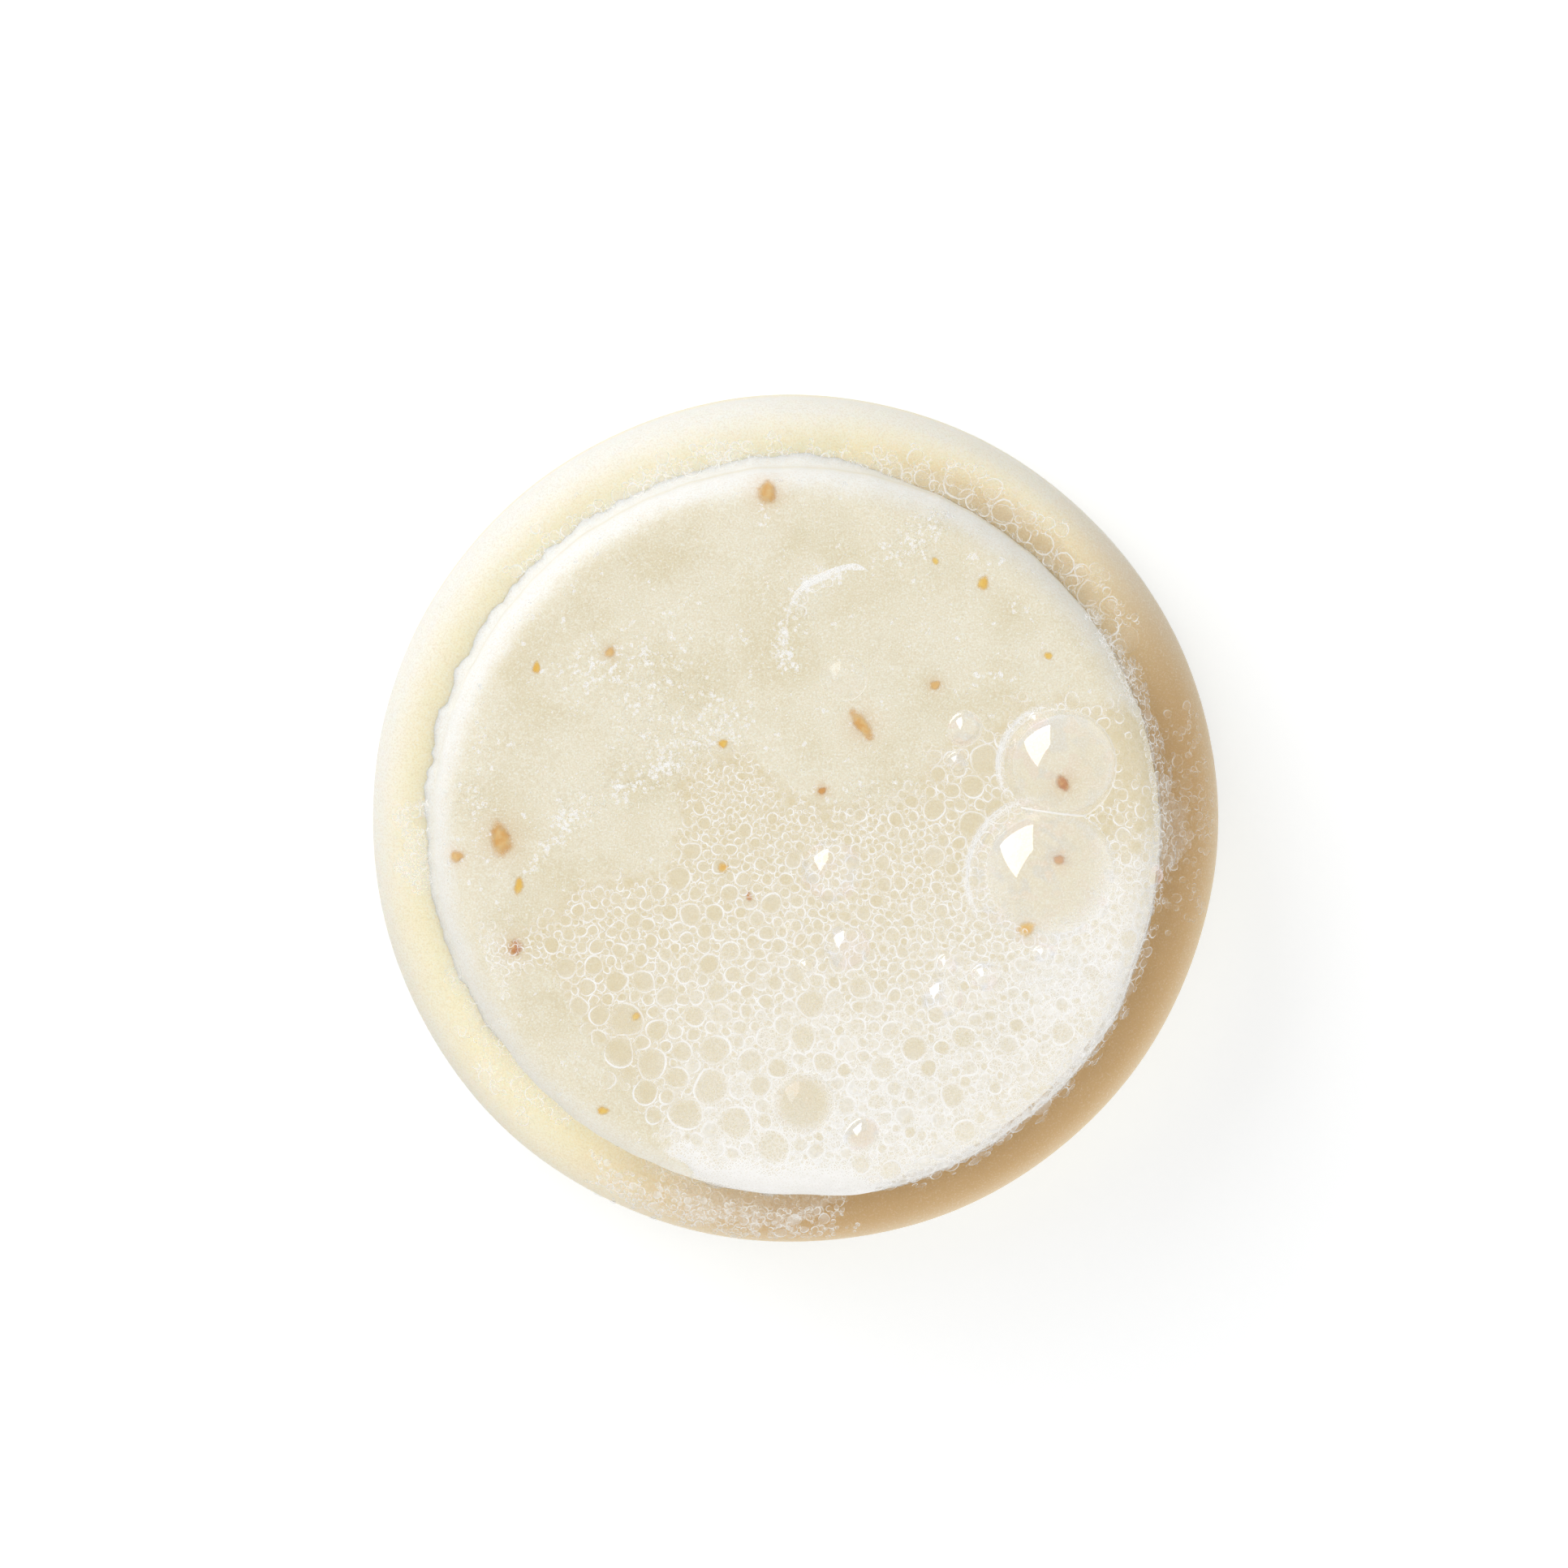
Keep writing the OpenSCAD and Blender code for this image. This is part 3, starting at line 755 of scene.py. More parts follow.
def lather_inside(u, v):
    """How far inside the lather's own edge on the face a place lies, in mm; chance scallops the edge."""
    deep = inside_outline(*FACE.from_above(u, v), LATHER_EDGE)
    return deep + 0.45 * ripple(u, v, 3.4, 21) + 0.25 * ripple(u, v, 1.3, 22)


def bank_depth(u, v):
    """How deep a place lies in the bank, in mm."""
    return inside(*FACE.from_above(u, v), BANK_LOBES)


def lather_lift(u, v):
    """Height of the lather's surface above the soap: thin, swelling into the bank at the lower right."""
    edge = ease(np.minimum(lather_inside(u, v), lather_reach(u, v)) / 1.8)
    bank = ease((bank_depth(u, v) + 2.0) / 5.0)
    past = ease((np.hypot(u, v) - FACE.flat_r) / (FACE.wall_s - FACE.flat_r))
    return edge * (0.4 * SPREAD_T + 0.75 * BANK_T * bank) * (1 - 0.65 * past) + 0.03


def foot_flare(angle):
    """The worn corner between wall and ledge on the left and at the top, with a ragged outer edge."""
    side = ease((np.cos(angle - math.radians(148)) - 0.15) / 0.35)
    x, y = FACE_R * np.cos(angle), FACE_R * np.sin(angle)
    return side * (2.2 + 0.35 * ripple(x, y, 5.0, 24) + 0.3 * ripple(x, y, 1.2, 25))


FOOT_SUNK = 0.5
points, faces = soap_layer(
    FACE, BASE_H - FOOT_SUNK, 0.0, rings=150, segments=480, ragged=0.045, flare=foot_flare)
x, y, z = points.T
# A pale edge: a little worn paleness, and mostly painted light on the shoulder and along the wall's foot at
# the upper left, where the key lamp falls. At the foot it also offsets the shade in the corner with the
# ledge.
shoulder = np.hypot(x, y) - (FACE_R - 2.5) + 0.18 * ripple(x, y, 4.1, 23) + 0.1 * ripple(x, y, 1.3, 27)
bloom = ease(shoulder / 2.0) * (0.2 + 0.8 * facing(x, y, 125))
bloom *= 0.45 + 0.55 * np.maximum(ease((z - FACE_TOP + 6) / 3), ease((BASE_H + 2.6 - z) / 1.5))
stain = np.maximum(0.5 * stain_near(x, y, BROWN_FLAKES, 1.7), 0.30 * stain_near(x, y, TAN_FLAKES, 1.5))
# Soap is wet under the lather, less so where the lather is white, at its left end and under the twins
wet = ease((lather_inside(*FACE.unroll(x, y)) + 0.3) / 1.5) * (z > FACE_TOP - 4)
wet *= 1.1 - 0.6 * blend_zones(x, y, WHITE)
wet *= ease((x / FACE_R + 0.84) / 0.14)
for tx, ty, tr in TWINS:
    wet *= 1 - 0.7 * ease((tr - np.hypot(x - tx, y - ty)) / 1.2 + 0.3)
# Where the brush has dragged the soap up into small ridges: x, y and width in face radii
DRAGGED = [
    (-0.37, 0.38, 0.12), (-0.26, 0.27, 0.09), (-0.60, 0.06, 0.05), (-0.50, 0.12, 0.05),
    (-0.40, 0.17, 0.05), (0.33, 0.81, 0.07), (-0.88, 0.10, 0.06), (0.02, 0.62, 0.05),
    (0.18, 0.08, 0.07)]
rough = sum(np.exp(-((x / FACE_R - a) ** 2 + (y / FACE_R - b) ** 2) / (2 * w * w)) for a, b, w in DRAGGED)
on_top = z > FACE_TOP - 2
make_piece("face_layer_soap", points, faces, SOAP_FACE, "soap_face", ["face_layer"],
           bloom=bloom, wet=wet, stain=stain * on_top, rough=np.minimum(rough, 1) * on_top)

HALF = FACE.wall_s + 2.2
# Clear bubbles in the lather that only the scene has: x, y and radius in face radii
EXTRA = np.array([
    [0.18, -0.82, 0.052], [0.52, -0.39, 0.046], [0.41, -0.36, 0.036], [0.68, -0.33, 0.034],
    [0.44, 0.20, 0.034], [0.46, 0.29, 0.050], [0.66, 0.31, 0.030], [0.03, -0.36, 0.026],
    [1.00, -0.12, 0.036]]) * FACE_R
# What the clear bubbles leave free of froth; the lower twin has froth showing under its lower side
CLEAR = np.concatenate([DOMES[2:3], EXTRA[[0, 5, 8]], TWINS * [1, 1, 0.96]])
CLEAR[-1] += [0.015 * FACE_R, 0.015 * FACE_R, -0.02 * FACE_R]
# Multiples of the usual radius, each with the share of the lather that such bubbles take up
SHARES = [
    (2.1, 0.04), (1.75, 0.06), (1.45, 0.10), (1.2, 0.15), (1.0, 0.16), (0.84, 0.14), (0.70, 0.10),
    (0.58, 0.08)]


def lather_room(u, v):
    """Depth inside the part of the lather that has bubbles: clear of the smooth band, and below it again."""
    below = np.minimum(lather_reach(u, v), np.hypot(u, v) - FACE.wall_s + 0.3)
    return np.minimum(lather_inside(u, v), np.maximum(lather_reach(u, v, 1.0), below))


cells = pack_bubbles(
    lather_room, lambda u, v: blend_zones(u, v, USUAL), SHARES, CLEAR, HALF, seed=31, least=0.16)
cu, cv, cr = cells.T
big = cr > 0.9
draw = np.random.default_rng(32)
cell_white = blend_zones(cu, cv, WHITE)
milk = draw.uniform(0.0, 0.14, len(cr))
milk += draw.uniform(0, 0.34, len(cr)) * ease((cell_white - 0.35) / 0.5) * (cr < 0.9)
wall_white = np.clip(0.78 + 0.25 * cell_white + draw.uniform(-0.3, 0.2, len(cr)), 0.25, 0.98)
wall = (0.060 + 0.035 * np.sqrt(cr)) * (1 + 0.35 * cell_white)
# Towards the lather's own edge, and at its right end, the walls grow faint and some bubbles are missing
edge_near = ease((lather_inside(cu, cv) - 0.1) / 1.8)
wall_white *= 0.5 + 0.5 * edge_near
thin = np.exp(-((cu / FACE_R - 0.94) ** 2 + ((cv / FACE_R - 0.24) / 1.5) ** 2) / (2 * 0.11 ** 2))
stays = draw.uniform(0, 1, len(cr)) < (0.35 + 0.65 * edge_near) * (1 - 0.8 * thin)
# How open each bubble is to the soap below: in the whitest lather most are covered by froth
opening = draw.uniform(0, 1, len(cr)) ** (0.35 + 1.0 * ease((cell_white - 0.4) / 0.5))
opening[big] = np.maximum(opening[big], 0.6)


def cell_group(chosen, rise, segments, mids):
    """The field of the chosen bubbles, each pressed by all of its neighbours."""
    reach = pressed(*np.concatenate([cells, CLEAR]).T, segments)[:len(cr)][chosen]
    u, v, r = cu[chosen], cv[chosen], cr[chosen]
    return bubble_field(
        FACE, u, v, r, reach, lather_lift(u, v), wall[chosen], wall_white[chosen], milk[chosen], rise, mids)


in_bank = bank_depth(cu, cv) > 0
large, fine = cr > 0.55, cr < 0.26
# Bubbles by size, with their rise as a share of the radius, their sides, and the rings up their dome
groups = {
    "large": (large & stays, 0.42, 18, 1), "middling": (~large & ~fine & stays, 0.25, 12, 0),
    "fine": (fine & stays, 0.2, 8, 0)}
for size, (chosen, *shape) in groups.items():
    nodes = ["spread_cells"] if size == "large" else ()
    froth_piece("spread_cells_" + size, cell_group(chosen & ~in_bank, *shape), nodes)
banked = [cell_group(chosen & in_bank, *shape) for chosen, *shape in groups.values()]
froth_piece("bank_cells_froth", joined(banked), ["bank_cells"])


def band(way, out, seed, ragged=0.5):
    """Depth inside a band between two directions in degrees and two distances from the axis, in mm.

    Its outer edge is ragged by chance.
    """
    middle, half_turn = math.radians(sum(way) / 2), math.radians(way[1] - way[0]) / 2

    def depth(u, v):
        s = np.hypot(u, v)
        off = np.abs((np.arctan2(v, u) - middle + np.pi) % TURN - np.pi)
        side = np.minimum(s - out[0], out[1] - s + ragged * (ripple(u, v, 2.6, seed) - 0.3))
        return np.minimum(side, (half_turn - off) * s / 3 + 0.8 * ripple(u, v, 3.1, seed + 1) - 0.4)

    return depth


def web(layer, depth, usual, white, milk, seed, rise=0.4, stay=1.0):
    """Froth bubbles of a usual radius, packed on a layer's side where depth is positive.

    stay is the share of them that is kept.
    """
    u, v, r = pack_bubbles(depth, lambda u, v: usual + 0 * u, SHARES, [], BASE_R + 2, seed, 0.12, 0.08).T
    draw = np.random.default_rng(seed)
    kept = draw.uniform(0, 1, len(r)) < stay
    u, v, r = u[kept], v[kept], r[kept]
    return bubble_field(layer, u, v, r, pressed(u, v, r, 12, 1.1), 0.02 + 0 * r, 0.055 + 0.05 * r,
                        white * draw.uniform(0.6, 1.1, len(r)), draw.uniform(0, milk, len(r)), rise, 0)


# Froth that hangs out past the face's edge: laid on a rounder shoulder than the soap's own
OVERHANG = Layer(FACE_R + 1.5, 4.6, FACE_TOP - 0.25)
froth_piece("bank_cells_fringe", joined([
    web(OVERHANG, band((-12, 37), (29.3, 31.9), 35, 0.8),
        usual=0.25, white=0.95, milk=0.3, seed=33),
    web(OVERHANG, band((-74, -12), (29.2, 31.7), 36, 0.9),
        usual=0.46, white=0.95, milk=0.25, seed=34, rise=0.6)]))
gu, gv, gr = EXTRA.T
film_piece("bank_cells_large", bubble_field(
    FACE, gu, gv, gr, round_reach(gr, 28), lather_lift(gu, gv), wall=0.08 + 0 * gr, white=0.4 + 0 * gr,
    milk=0 * gr, rise=0.6, mids=6), 1.2)


def lather_sheet(name, belongs, nodes, pitch=0.16, soft=0.45):
    """The froth between the bubbles: a fine square net over the lather, thin inside open bubbles.

    belongs tells which places are the sheet's own, and soft is how wide the edge of a thin spot is, as a
    share of the bubble's radius.
    """
    axis = np.arange(-HALF, HALF, pitch)
    u, v = np.meshgrid(axis, axis, indexing="ij")
    own, reach = lather_inside(u, v), lather_reach(u, v)
    keep = (np.minimum(own, reach) > -0.1) & belongs(u, v)
    cloud = np.ones_like(u)
    seen = cr > 0.2
    holes = np.concatenate([
        np.column_stack([cells, opening])[seen], np.column_stack([CLEAR, np.ones(len(CLEAR))])])
    for hu, hv, hr, clear in holes:
        i0, i1 = np.searchsorted(axis, [hu - 1.3 * hr, hu + 1.3 * hr])
        j0, j1 = np.searchsorted(axis, [hv - 1.3 * hr, hv + 1.3 * hr])
        away = np.hypot(u[i0:i1, j0:j1] - hu, v[i0:i1, j0:j1] - hv) / hr
        veil = 1 - clear * (1 - ease((away - 1.02 + soft) / soft))
        cloud[i0:i1, j0:j1] = np.minimum(cloud[i0:i1, j0:j1], veil)
    white = blend_zones(u, v, WHITE)
    hole = 0.08 + 0.22 * white
    smooth = ease((reach - lather_reach(u, v, 1.0)) / 4 - 0.1) * ease((5.4 - reach) / 1.5)
    haze = (hole + (1 - hole) * cloud) * white * (0.82 + 0.4 * smooth)
    # A collar of froth at the upper left of each twin
    for tx, ty, tr in TWINS:
        collar = np.exp(-((np.hypot(u - tx, v - ty) / tr - 1.06) / 0.07) ** 2)
        collar *= ease((np.cos(np.arctan2(v - ty, u - tx) - 2.75) - 0.3) / 0.5)
        haze = np.maximum(haze, 0.75 * collar)
    for there in (TAN_FLAKES, GOLD_FLAKES, BROWN_FLAKES):
        haze *= 1 - 0.9 * stain_near(u, v, there, 1.5)
    haze *= ease(own / 0.7 + 0.1)
    # It thins out towards its left end on the wall
    on_wall = ease((np.hypot(u, v) - FACE.flat_r - 2.4) / 1.8)
    haze *= 1 - on_wall * (1 - ease((np.degrees(np.arctan2(v, u)) + 108) / 14))
    whole = keep[:-1, :-1] & keep[1:, :-1] & keep[1:, 1:] & keep[:-1, 1:]
    quads = grid_faces(len(axis), len(axis))[whole.ravel()][:, ::-1]
    used, quads = np.unique(quads, return_inverse=True)
    lift = np.maximum(lather_lift(u, v) - 0.04, 0.02)
    points = FACE.wrap(u, v, lift).reshape(-1, 3)[used]
    make_piece(name, points, [quads.reshape(-1, 4)], LATHER, "lather", nodes, shade=False,
               haze=haze.ravel()[used])


# The two sheets overlap a little
lather_sheet("lather_spread_sheet", lambda u, v: bank_depth(u, v) <= 0.15, ["lather_spread"])
lather_sheet("lather_bank_sheet", lambda u, v: bank_depth(u, v) > -0.15, ["lather_bank"])


# Large bubbles

FILM_LIFT = 0.3


def film_dome(place, lift, rim, cut=None, rings=20, segments=72):
    """A round film: cap of a ball over a foot circle, with a fine rim at the foot as white as rim says.

    cut is the way to a twin and the distance along it of the film that they share, where the foot stops.
    """
    x, y, r = place
    share = np.concatenate([np.linspace(0, 0.9, rings - 4, endpoint=False), [0.9, 0.94, 0.97, 1.0]])[1:]
    a = ring(segments)
    reach = np.full(segments, r)
    if cut is not None:
        way, film_at = cut
        toward = np.cos(a - way)
        reach = np.where(toward > 1e-6, np.minimum(r, film_at / np.maximum(toward, 1e-6)), r)
    d = share[:, None] * reach
    ball = (r ** 2 + (FILM_RISE * r) ** 2) / (2 * FILM_RISE * r)
    z = FILM_RISE * r - ball + np.sqrt(np.maximum(ball ** 2 - d ** 2, 0))
    base = FACE.wrap(x, y, lift)[2]
    shell = np.stack([x + d * np.cos(a), y + d * np.sin(a), base + z], -1)
    points = np.concatenate([[[x, y, base + FILM_RISE * r]], shell.reshape(-1, 3)])
    white = rim * ease((d - r + 0.22) / 0.18) * (1 + 0.5 * np.sin(a + 2.0))
    return points, dome_faces(len(share), segments), np.concatenate([[0], white.ravel()])


def shared_film(place, way, film_at, base, seam_r=0.09, seam_white=0.75):
    """The flat film between twins: upright, under the arc where their balls cross, with a white seam on it.

    The seam is a round tube carried along that arc. place is the first twin's.
    """
    along, levels, around = 40, 6, 8
    x, y, r = place
    ball = r * (1 + FILM_RISE ** 2) / (2 * FILM_RISE)
    sink = ball - FILM_RISE * r
    half = math.sqrt(max(r * r - film_at ** 2, 0))
    w = np.linspace(-half, half, along)
    crest = np.sqrt(np.maximum(ball ** 2 - film_at ** 2 - w ** 2, 0)) - sink
    c, d = math.cos(way), math.sin(way)
    mx, my = x + film_at * c - w * d, y + film_at * d + w * c
    level = np.linspace(0, 1, levels)[:, None]
    film = np.stack(np.broadcast_arrays(mx, my, base + crest * level), -1)
    spin = ring(around)[:, None]
    across, up = seam_r * np.cos(spin), seam_r * np.sin(spin)
    tube = np.stack([mx + across * c, my + across * d, base + crest + up], -1)
    tube = tube.transpose(1, 0, 2).reshape(-1, 3)
    return joined([(film.reshape(-1, 3), [grid_faces(levels, along)], np.zeros(levels * along)),
                   (tube, [grid_faces(along, around, True)], np.full(along * around, seam_white))])


(ax, ay, ar), (bx, by, br) = TWINS
gap = math.hypot(bx - ax, by - ay)
film_at = (gap ** 2 + ar ** 2 - br ** 2) / (2 * gap)
way = math.atan2(by - ay, bx - ax)
twins = joined([
    film_dome(TWINS[0], FILM_LIFT, rim=0.5, cut=(way, film_at)),
    film_dome(TWINS[1], FILM_LIFT, rim=0.4, cut=(way + np.pi, gap - film_at)),
    shared_film(TWINS[0], way, film_at, FACE.wrap(ax, ay, FILM_LIFT)[2])])
# The film mirrors more strongly at the upper left of each bubble, where the key lamp's reflection falls: a
# painted strengthening of that highlight
x, y, z = twins[0].T
thick = [np.hypot(x - tx + 0.33 * tr, y - ty - 0.35 * tr) / tr for tx, ty, tr in TWINS]
film_piece("twin_bubble_film", twins, 0.58 + 0.6 * ease((0.8 - np.minimum(*thick)) / 0.35), ["twin_bubble"])
# How white each dome's rim is, and how well its film mirrors
DOME_RIM, DOME_MIRROR = (0.15, 0.12, 0.5, 0.25, 0.5), (1.0, 1.1, 0.3, 1.1, 0.25)
domes = [film_dome(d, FILM_LIFT, rim, rings=16, segments=48) for d, rim in zip(DOMES, DOME_RIM)]
film_piece("dome_bubbles_film", joined(domes), np.repeat(DOME_MIRROR, len(domes[0][2])), ["dome_bubbles"])
film_piece("lone_bubble_film", film_dome(LONE[0], 0.0, rim=0.28, rings=16, segments=48), 0.3, ["lone_bubble"])


# Strands, burst rim and froth in the step

BEAD_SIDES = 9


def bead(path, half_width, height, layer, lift):
    """A half-round bead carried along a path on a layer's side, tapering to its ends."""
    u, v = path
    du, dv = np.gradient(u), np.gradient(v)
    size = np.hypot(du, dv)
    nu, nv = -dv / size, du / size
    a = np.linspace(0, np.pi, BEAD_SIDES)
    across = half_width[:, None] * np.cos(a)
    up = height[:, None] * np.sin(a)
    points = layer.wrap(u[:, None] + nu[:, None] * across, v[:, None] + nv[:, None] * across, up + lift)
    return points.reshape(-1, 3), [grid_faces(len(u), BEAD_SIDES)]


# Fine strands of froth round the upper left of the twins
strands, steps = [], 40
draw = np.random.default_rng(44)
for number in range(16):
    x, y, r = TWINS[number % 2]
    first = np.radians(draw.uniform(112, 150))
    a = np.linspace(first, first + np.radians(draw.uniform(30, 75)), steps)
    reach = r * draw.uniform(1.0, 1.13) * (1 + 0.015 * np.sin(3 * a + number))
    u, v = x + reach * np.cos(a), y + reach * np.sin(a)
    thin = draw.uniform(0.025, 0.055) * np.sin(np.linspace(0.1, 3.04, steps))
    points, faces = bead((u, v), thin, thin, FACE, lather_lift(u, v)[:, None] + 0.08)
    strands.append((points, faces, np.full(len(points), draw.uniform(0.4, 0.9))))
froth_piece("twin_strands", joined(strands))

t = np.linspace(0, 1, 90)
arc = BURST_ARC[0] + t * (BURST_ARC[1] - BURST_ARC[0])
reach = BURST[2] * (1 + 0.05 * np.sin(5 * t) + 0.02 * np.sin(19 * t))
strong = 1 - 0.8 * ease((t - 0.32) / 0.2)
ends = np.clip(np.minimum(t / 0.06, (0.85 - t) / 0.2), 0.05, 1)
width = (0.28 * strong + 0.05) * ends * (0.88 + 0.12 * np.cos(23 * t))
burst_u, burst_v = BURST[0] + reach * np.cos(arc), BURST[1] + reach * np.sin(arc)
points, faces = bead((burst_u, burst_v), width, 0.7 * width, FACE, -0.02)
make_piece("burst_rim_bead", points, faces, LATHER, "lather", ["burst_rim"], shade=False,
           haze=np.repeat(0.2 + 0.65 * strong, BEAD_SIDES))


def burst_depth(u, v):
    """Depth inside the froth that clings to the left of the burst rim."""
    a = np.arctan2(v - BURST[1], u - BURST[0]) % TURN
    off = np.abs(np.hypot(u - BURST[0], v - BURST[1]) - BURST[2])
    along = np.minimum(a - math.radians(112), math.radians(200) - a) * BURST[2]
    return np.minimum(0.65 - off + 0.25 * ripple(u, v, 2.0, 96), along)


froth_piece("burst_rim_froth", web(
    FACE, burst_depth, usual=0.42, white=0.7, milk=0.12, seed=97, rise=0.5, stay=0.85))


def froth_circle(place):
    """Centre and radius of a round froth patch, which meets the wall at its half span."""
    way, span, share = place
    reach = share * LEDGE_W
    shift = reach * (reach + 2 * FACE_R) / (2 * (FACE_R * (1 - math.cos(math.radians(span))) + reach))
    return shift * math.cos(math.radians(way)), shift * math.sin(math.radians(way)), FACE_R + reach - shift


def froth_lift(u, v, depth):
    """Height of the froth: highest at the wall, thin at its outer edge."""
    lean = np.clip(1 - (np.hypot(u, v) - FACE_R) / LEDGE_W, 0, 1)
    return ease(depth / 1.6) * FROTH_H * (0.15 + 0.45 * lean ** 2)


# How large each patch's bubbles usually are, in mm, and how white its walls and its haze are
FROTH_LOOK = {
    "froth_right": (0.36, 0.50, 0.16), "froth_upper_right": (0.50, 0.6, 0.06),
    "froth_top": (0.42, 0.75, 0.12), "froth_left": (0.24, 0.7, 0.30),
    "froth_lower_left": (0.42, 0.6, 0.14), "froth_bottom": (0.32, 0.5, 0.16)}
froth_parts, patch_rows = [], 22
for number, (name, place) in enumerate(FROTH.items()):
    circle = froth_circle(place)
    usual, wall_tone, patch_haze = FROTH_LOOK[name]

    def depth(u, v, circle=circle):
        ragged = 0.7 * ripple(u, v, 3.0, 41) - 0.2
        in_circle = circle[2] - np.hypot(u - circle[0], v - circle[1]) + ragged
        return np.minimum(in_circle, np.hypot(u, v) - FACE_R + 0.1)

    fu, fv, fr = pack_bubbles(
        depth, lambda u, v: 0 * u + usual, SHARES, [], BASE_R + 2, 50 + number, 0.16, 0.1).T
    draw = np.random.default_rng(60 + number)
    kept = draw.uniform(0, 1, len(fr)) < 0.75
    fu, fv, fr = fu[kept], fv[kept], fr[kept]
    whiteness = wall_tone * draw.uniform(0.4, 1.2, len(fr))
    froth_parts.append(bubble_field(
        LEDGE, fu, fv, fr, pressed(fu, fv, fr, 11, 1.1), froth_lift(fu, fv, depth(fu, fv)),
        wall=0.08 + 0 * fr, white=whiteness, milk=draw.uniform(0, 0.1, len(fr)), rise=0.3, mids=0))
    way, span, share = place
    a = np.radians(np.linspace(way - span, way + span, int(3.2 * span)))
    d = np.linspace(-0.1, share * LEDGE_W + 0.5, patch_rows)[:, None]
    u, v = (FACE_R + d) * np.cos(a), (FACE_R + d) * np.sin(a)
    deep = depth(u, v)
    points = LEDGE.wrap(u, v, np.maximum(froth_lift(u, v, deep) - 0.05, 0.01))
    make_piece(name + "_patch", points, [grid_faces(patch_rows, len(a))[:, ::-1]], LATHER, "lather", [name],
               shade=False, haze=patch_haze * ease(deep / 0.8))
# Looser froth: along the wall at the upper right and the top, on the rim at the bottom, and on the ledge
# at the right
froth_parts += [
    web(LEDGE, band((24, 82), (FACE_R - 0.1, FACE_R + 2.2), 85, 0.9),
        usual=0.66, white=0.95, milk=0.06, seed=81, rise=0.5),
    web(LEDGE, band((84, 142), (FACE_R + 0.45, FACE_R + 2.0), 86, 0.8),
        usual=0.32, white=0.85, milk=0.2, seed=82),
    web(LEDGE, band((238, 278), (BASE_R - 3.4, BASE_R + 0.3), 87, 1.0),
        usual=0.24, white=0.9, milk=0.5, seed=83, stay=0.8),
    web(LEDGE, band((-15, 20), (FACE_R + 1.2, BASE_R), 88, 0.8),
        usual=0.26, white=0.4, milk=0.1, seed=84, stay=0.5)]
froth_piece("froth_cells_bubbles", joined(froth_parts), ["froth_cells"])


# Finest bubbles on the bare soap

# The brush's drag marks: x and y of both ends and the spread in face radii, then how many crumbs lie there
DRAG_MARKS = [
    (-0.67, 0.03, -0.34, 0.19, 0.014, 70), (-0.52, 0.50, -0.20, 0.22, 0.085, 130),
    (0.25, 0.76, 0.40, 0.86, 0.025, 46), (-0.40, 0.20, -0.14, 0.34, 0.035, 60),
    (-0.62, 0.44, -0.36, 0.50, 0.045, 40), (-0.90, -0.12, -0.84, 0.25, 0.04, 30),
    (0.48, 0.42, 0.56, 0.44, 0.012, 8), (0.06, 0.04, 0.30, 0.14, 0.03, 26),
    (-0.74, -0.10, -0.62, 0.02, 0.012, 26)]


def specks():
    """Places, radii and whiteness of the finest bubbles: single ones all over the face, and crumbs of froth.

    A crumb is a short bent run of them. Crumbs lie thick along the drag marks and along the burst rim.
    """
    singles, loose, by_burst, in_crumb = 3600, 420, 70, 4
    draw = np.random.default_rng(71)
    single = draw.uniform(-FACE_R, FACE_R, (singles, 2))
    seeds = [draw.uniform(-FACE_R, FACE_R, (loose, 2))]
    for x0, y0, x1, y1, spread, count in DRAG_MARKS:
        t = draw.uniform(0, 1, (count, 1))
        line = np.array([[x0, y0]]) * (1 - t) + np.array([[x1, y1]]) * t
        seeds.append((line + draw.normal(0, spread, (count, 2))) * FACE_R)
    pick = draw.integers(16, 76, by_burst)
    seeds.append(np.stack([burst_u[pick], burst_v[pick]], -1) + draw.normal(0, 0.4, (by_burst, 2)))
    seeds = np.repeat(np.concatenate(seeds), in_crumb, 0)
    way = np.repeat(draw.uniform(0, TURN, len(seeds) // in_crumb), in_crumb)
    along, across = draw.normal(0, 0.24, len(seeds)), draw.normal(0, 0.07, len(seeds))
    crumbs = seeds + np.stack([
        along * np.cos(way) - across * np.sin(way), along * np.sin(way) + across * np.cos(way)], -1)
    places = np.concatenate([single, crumbs])
    size = np.concatenate([
        0.03 + 0.08 * draw.uniform(0, 1, len(single)) ** 2,
        0.055 + 0.14 * draw.uniform(0, 1, len(crumbs)) ** 2])
    cover = np.concatenate([draw.uniform(0.1, 0.8, len(single)), draw.uniform(0.4, 1.0, len(crumbs))])
    u, v = FACE.unroll(places[:, 0], places[:, 1])
    keep = (np.hypot(u, v) < FACE.flat_r + 2.5) & (lather_inside(u, v) < 0.2)
    return u[keep], v[keep], size[keep], cover[keep]


u, v, r, cover = specks()
froth_piece("fine_bubbles", bubble_field(
    FACE, u, v, r, round_reach(r, 6), 0 * r, wall=0.3 * r, white=cover, milk=0.7 * cover, rise=0.5, mids=0),
    slot="lather")


# Floor, lamps and camera, in metres

def stage_mesh(name, corners, triangles, finish):
    """A flat sheet of the studio, which isn't part of the object."""
    mesh = bpy.data.meshes.new(name)
    mesh.from_pydata(corners, [], triangles)
    mesh.materials.append(finish)
    sheet = bpy.data.objects.new(name, mesh)
    scene.collection.objects.link(sheet)
    return sheet


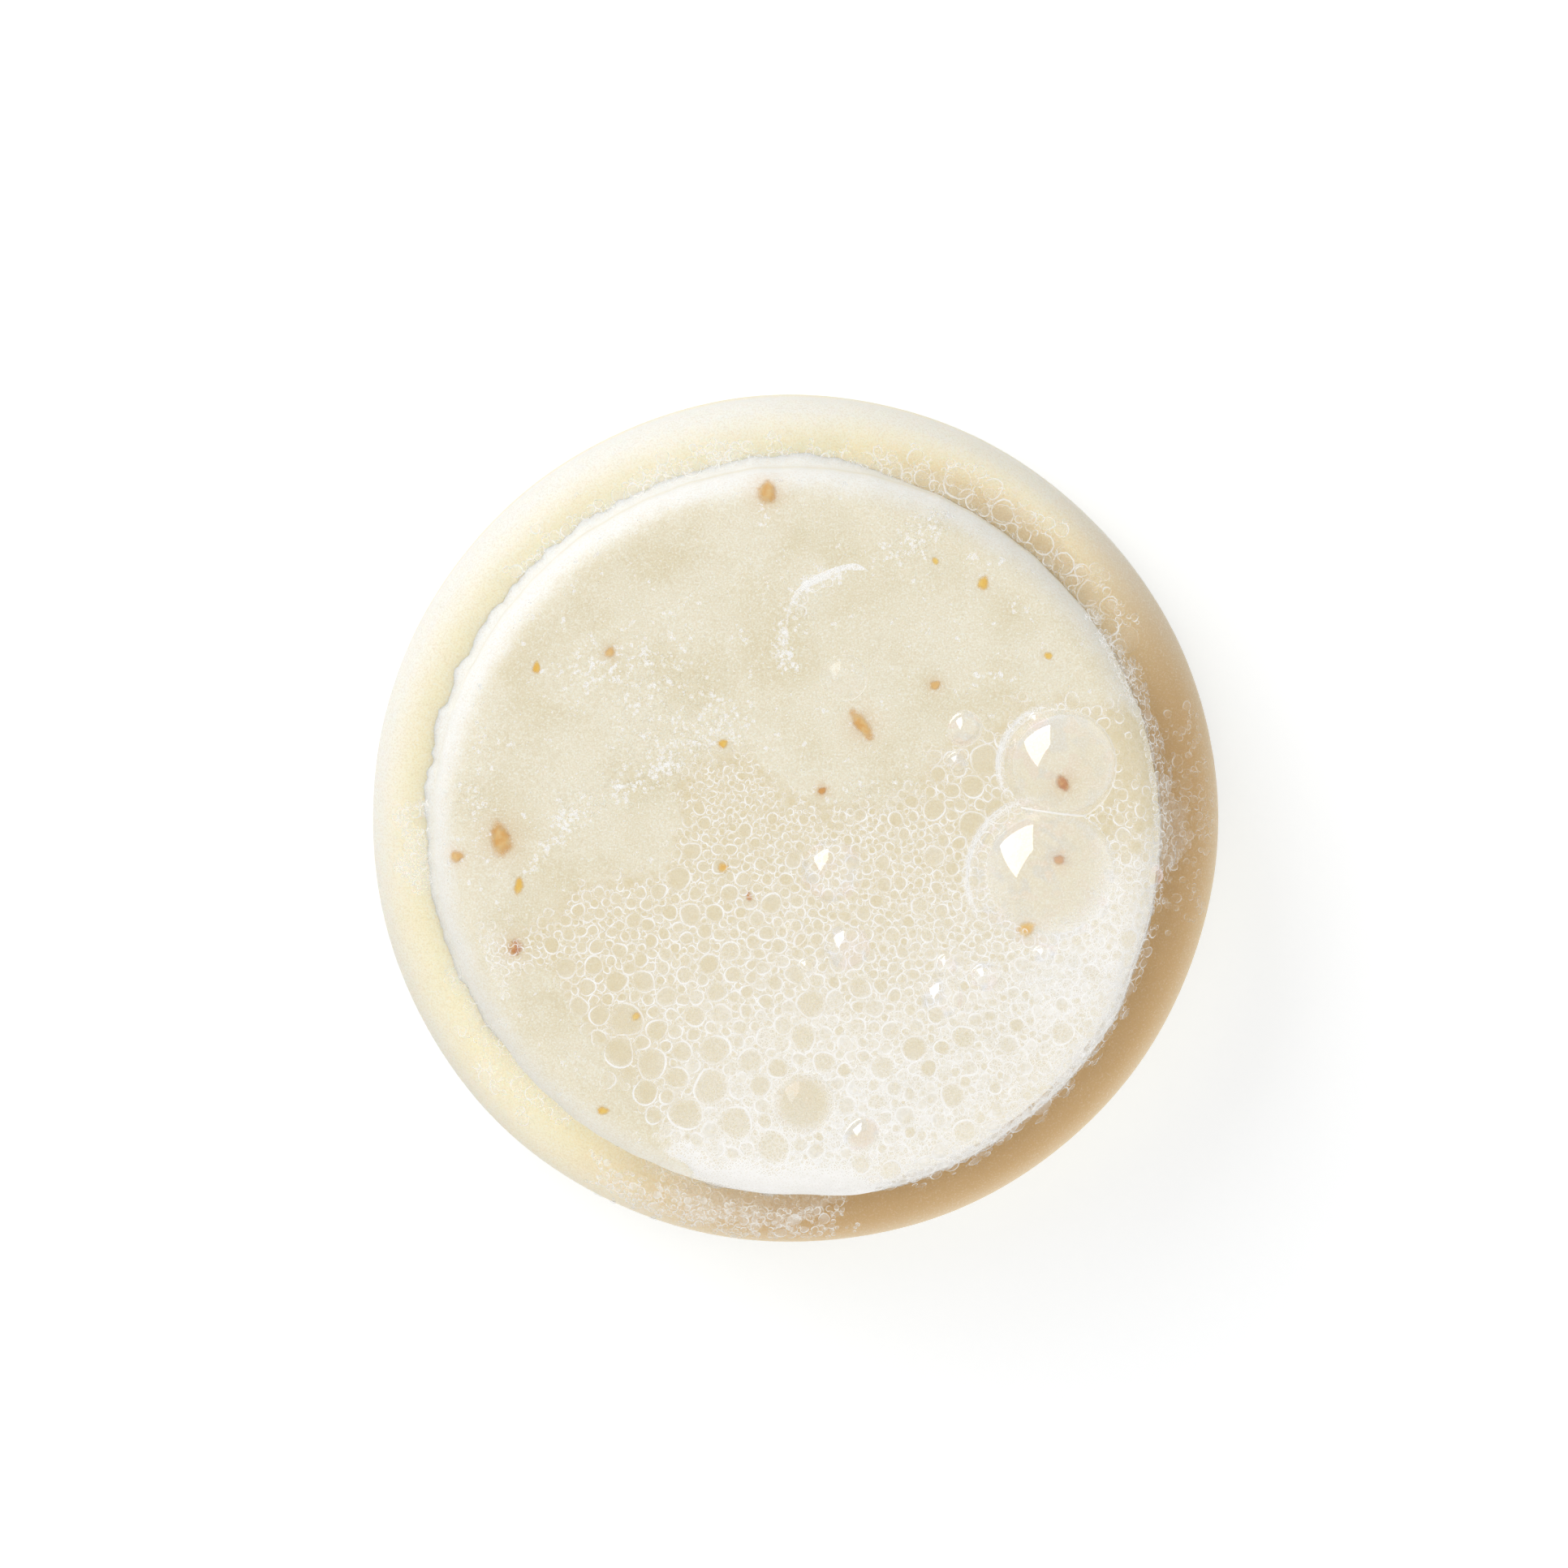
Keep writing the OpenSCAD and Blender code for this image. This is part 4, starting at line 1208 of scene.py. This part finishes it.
def floor_finish():
    """White floor that keeps the shadow: it is lit as paper is, and lifted for what looks at it."""
    f = Finish("floor")
    lift = f.node("ShaderNodeEmission", None, {
        "Color": (0.94, 0.97, 1, 1), "Strength": f.looked_at() * 0.45})
    paper = f.node("ShaderNodeBsdfDiffuse", None, {"Color": (0.78, 0.78, 0.78, 1)})
    return f.done(f.node("ShaderNodeAddShader", None, {0: paper, 1: lift}))


FLOOR_HALF, FLOOR_Z = 3.0, -0.0001
floor = stage_mesh(
    "floor", [(sx * FLOOR_HALF, sy * FLOOR_HALF, 0) for sx, sy in ((-1, -1), (1, -1), (1, 1), (-1, 1))],
    [(0, 1, 2, 3)], floor_finish())
floor.location.z = FLOOR_Z

# The world is white for what looks at it, and lights the puck less
scene.world = bpy.data.worlds.new("studio")
sky = Finish("studio", scene.world)
sky.done(sky.node("ShaderNodeBackground", None, {
    "Color": (1, 0.99, 0.975, 1), "Strength": 0.6 + 0.4 * sky.looked_at()}), "World")


def lamp(name, azimuth, elevation, distance, width, height, watts, colour):
    """A soft lamp with straight sides that looks at the puck."""
    data = bpy.data.lights.new(name, "AREA")
    data.shape, data.size, data.size_y, data.energy, data.color = "RECTANGLE", width, height, watts, colour
    holder = bpy.data.objects.new(name, data)
    a, e = math.radians(azimuth), math.radians(elevation)
    back = Vector((math.cos(a) * math.cos(e), math.sin(a) * math.cos(e), math.sin(e)))
    holder.location = back * distance
    holder.rotation_euler = (-back).to_track_quat("-Z", "Y").to_euler()
    scene.collection.objects.link(holder)
    return holder


# The key lamp is a bright four-cornered sheet one metre off, given by elevation and direction of its
# corners, so that every bubble shows a small kite
KITE = np.radians([(12, 101), (10, 147), (52, 184), (50, 112)])
glow = Finish("key_glow")
key = stage_mesh(
    "key", [(math.cos(e) * math.cos(a), math.cos(e) * math.sin(a), math.sin(e)) for e, a in KITE],
    [(0, 1, 2), (0, 2, 3)], glow.done(glow.node("ShaderNodeEmission", None, {"Strength": 3.15})))
key.visible_camera = False
# Two weak lamps lift the side that the key leaves dark; they spare the floor, which keeps its shadow
spared = bpy.data.collections.new("spared_by_fill")
spared.objects.link(floor)
spared.collection_objects[0].light_linking.link_state = "EXCLUDE"
for weak in (lamp("card", -62, 28, distance=1.2, width=0.9, height=0.9, watts=1.0, colour=(1.0, 0.86, 0.70)),
             lamp("fill", -54, 18, distance=1.2, width=0.9, height=0.5, watts=6.2, colour=(1.0, 1.0, 1.0))):
    weak.visible_glossy = False
    weak.light_linking.receiver_collection = spared

CAMERA_AWAY, CAMERA_LEAN = 0.95, math.radians(4.6)
camera_data = bpy.data.cameras.new("camera")
camera_data.sensor_width = 36
camera_data.lens = 264
camera_data.clip_start, camera_data.clip_end = 0.05, 20
camera = bpy.data.objects.new("camera", camera_data)
aim = Vector((-0.87, 3.0, 9.0)) * MM
camera.location = aim + Vector((-0.010, math.sin(CAMERA_LEAN), math.cos(CAMERA_LEAN))) * CAMERA_AWAY
back = (camera.location - aim).normalized()
right = Vector((0, 1, 0)).cross(back).normalized()
camera.rotation_euler = Matrix((right, back.cross(right), back)).transposed().to_euler()
scene.collection.objects.link(camera)
scene.camera = camera
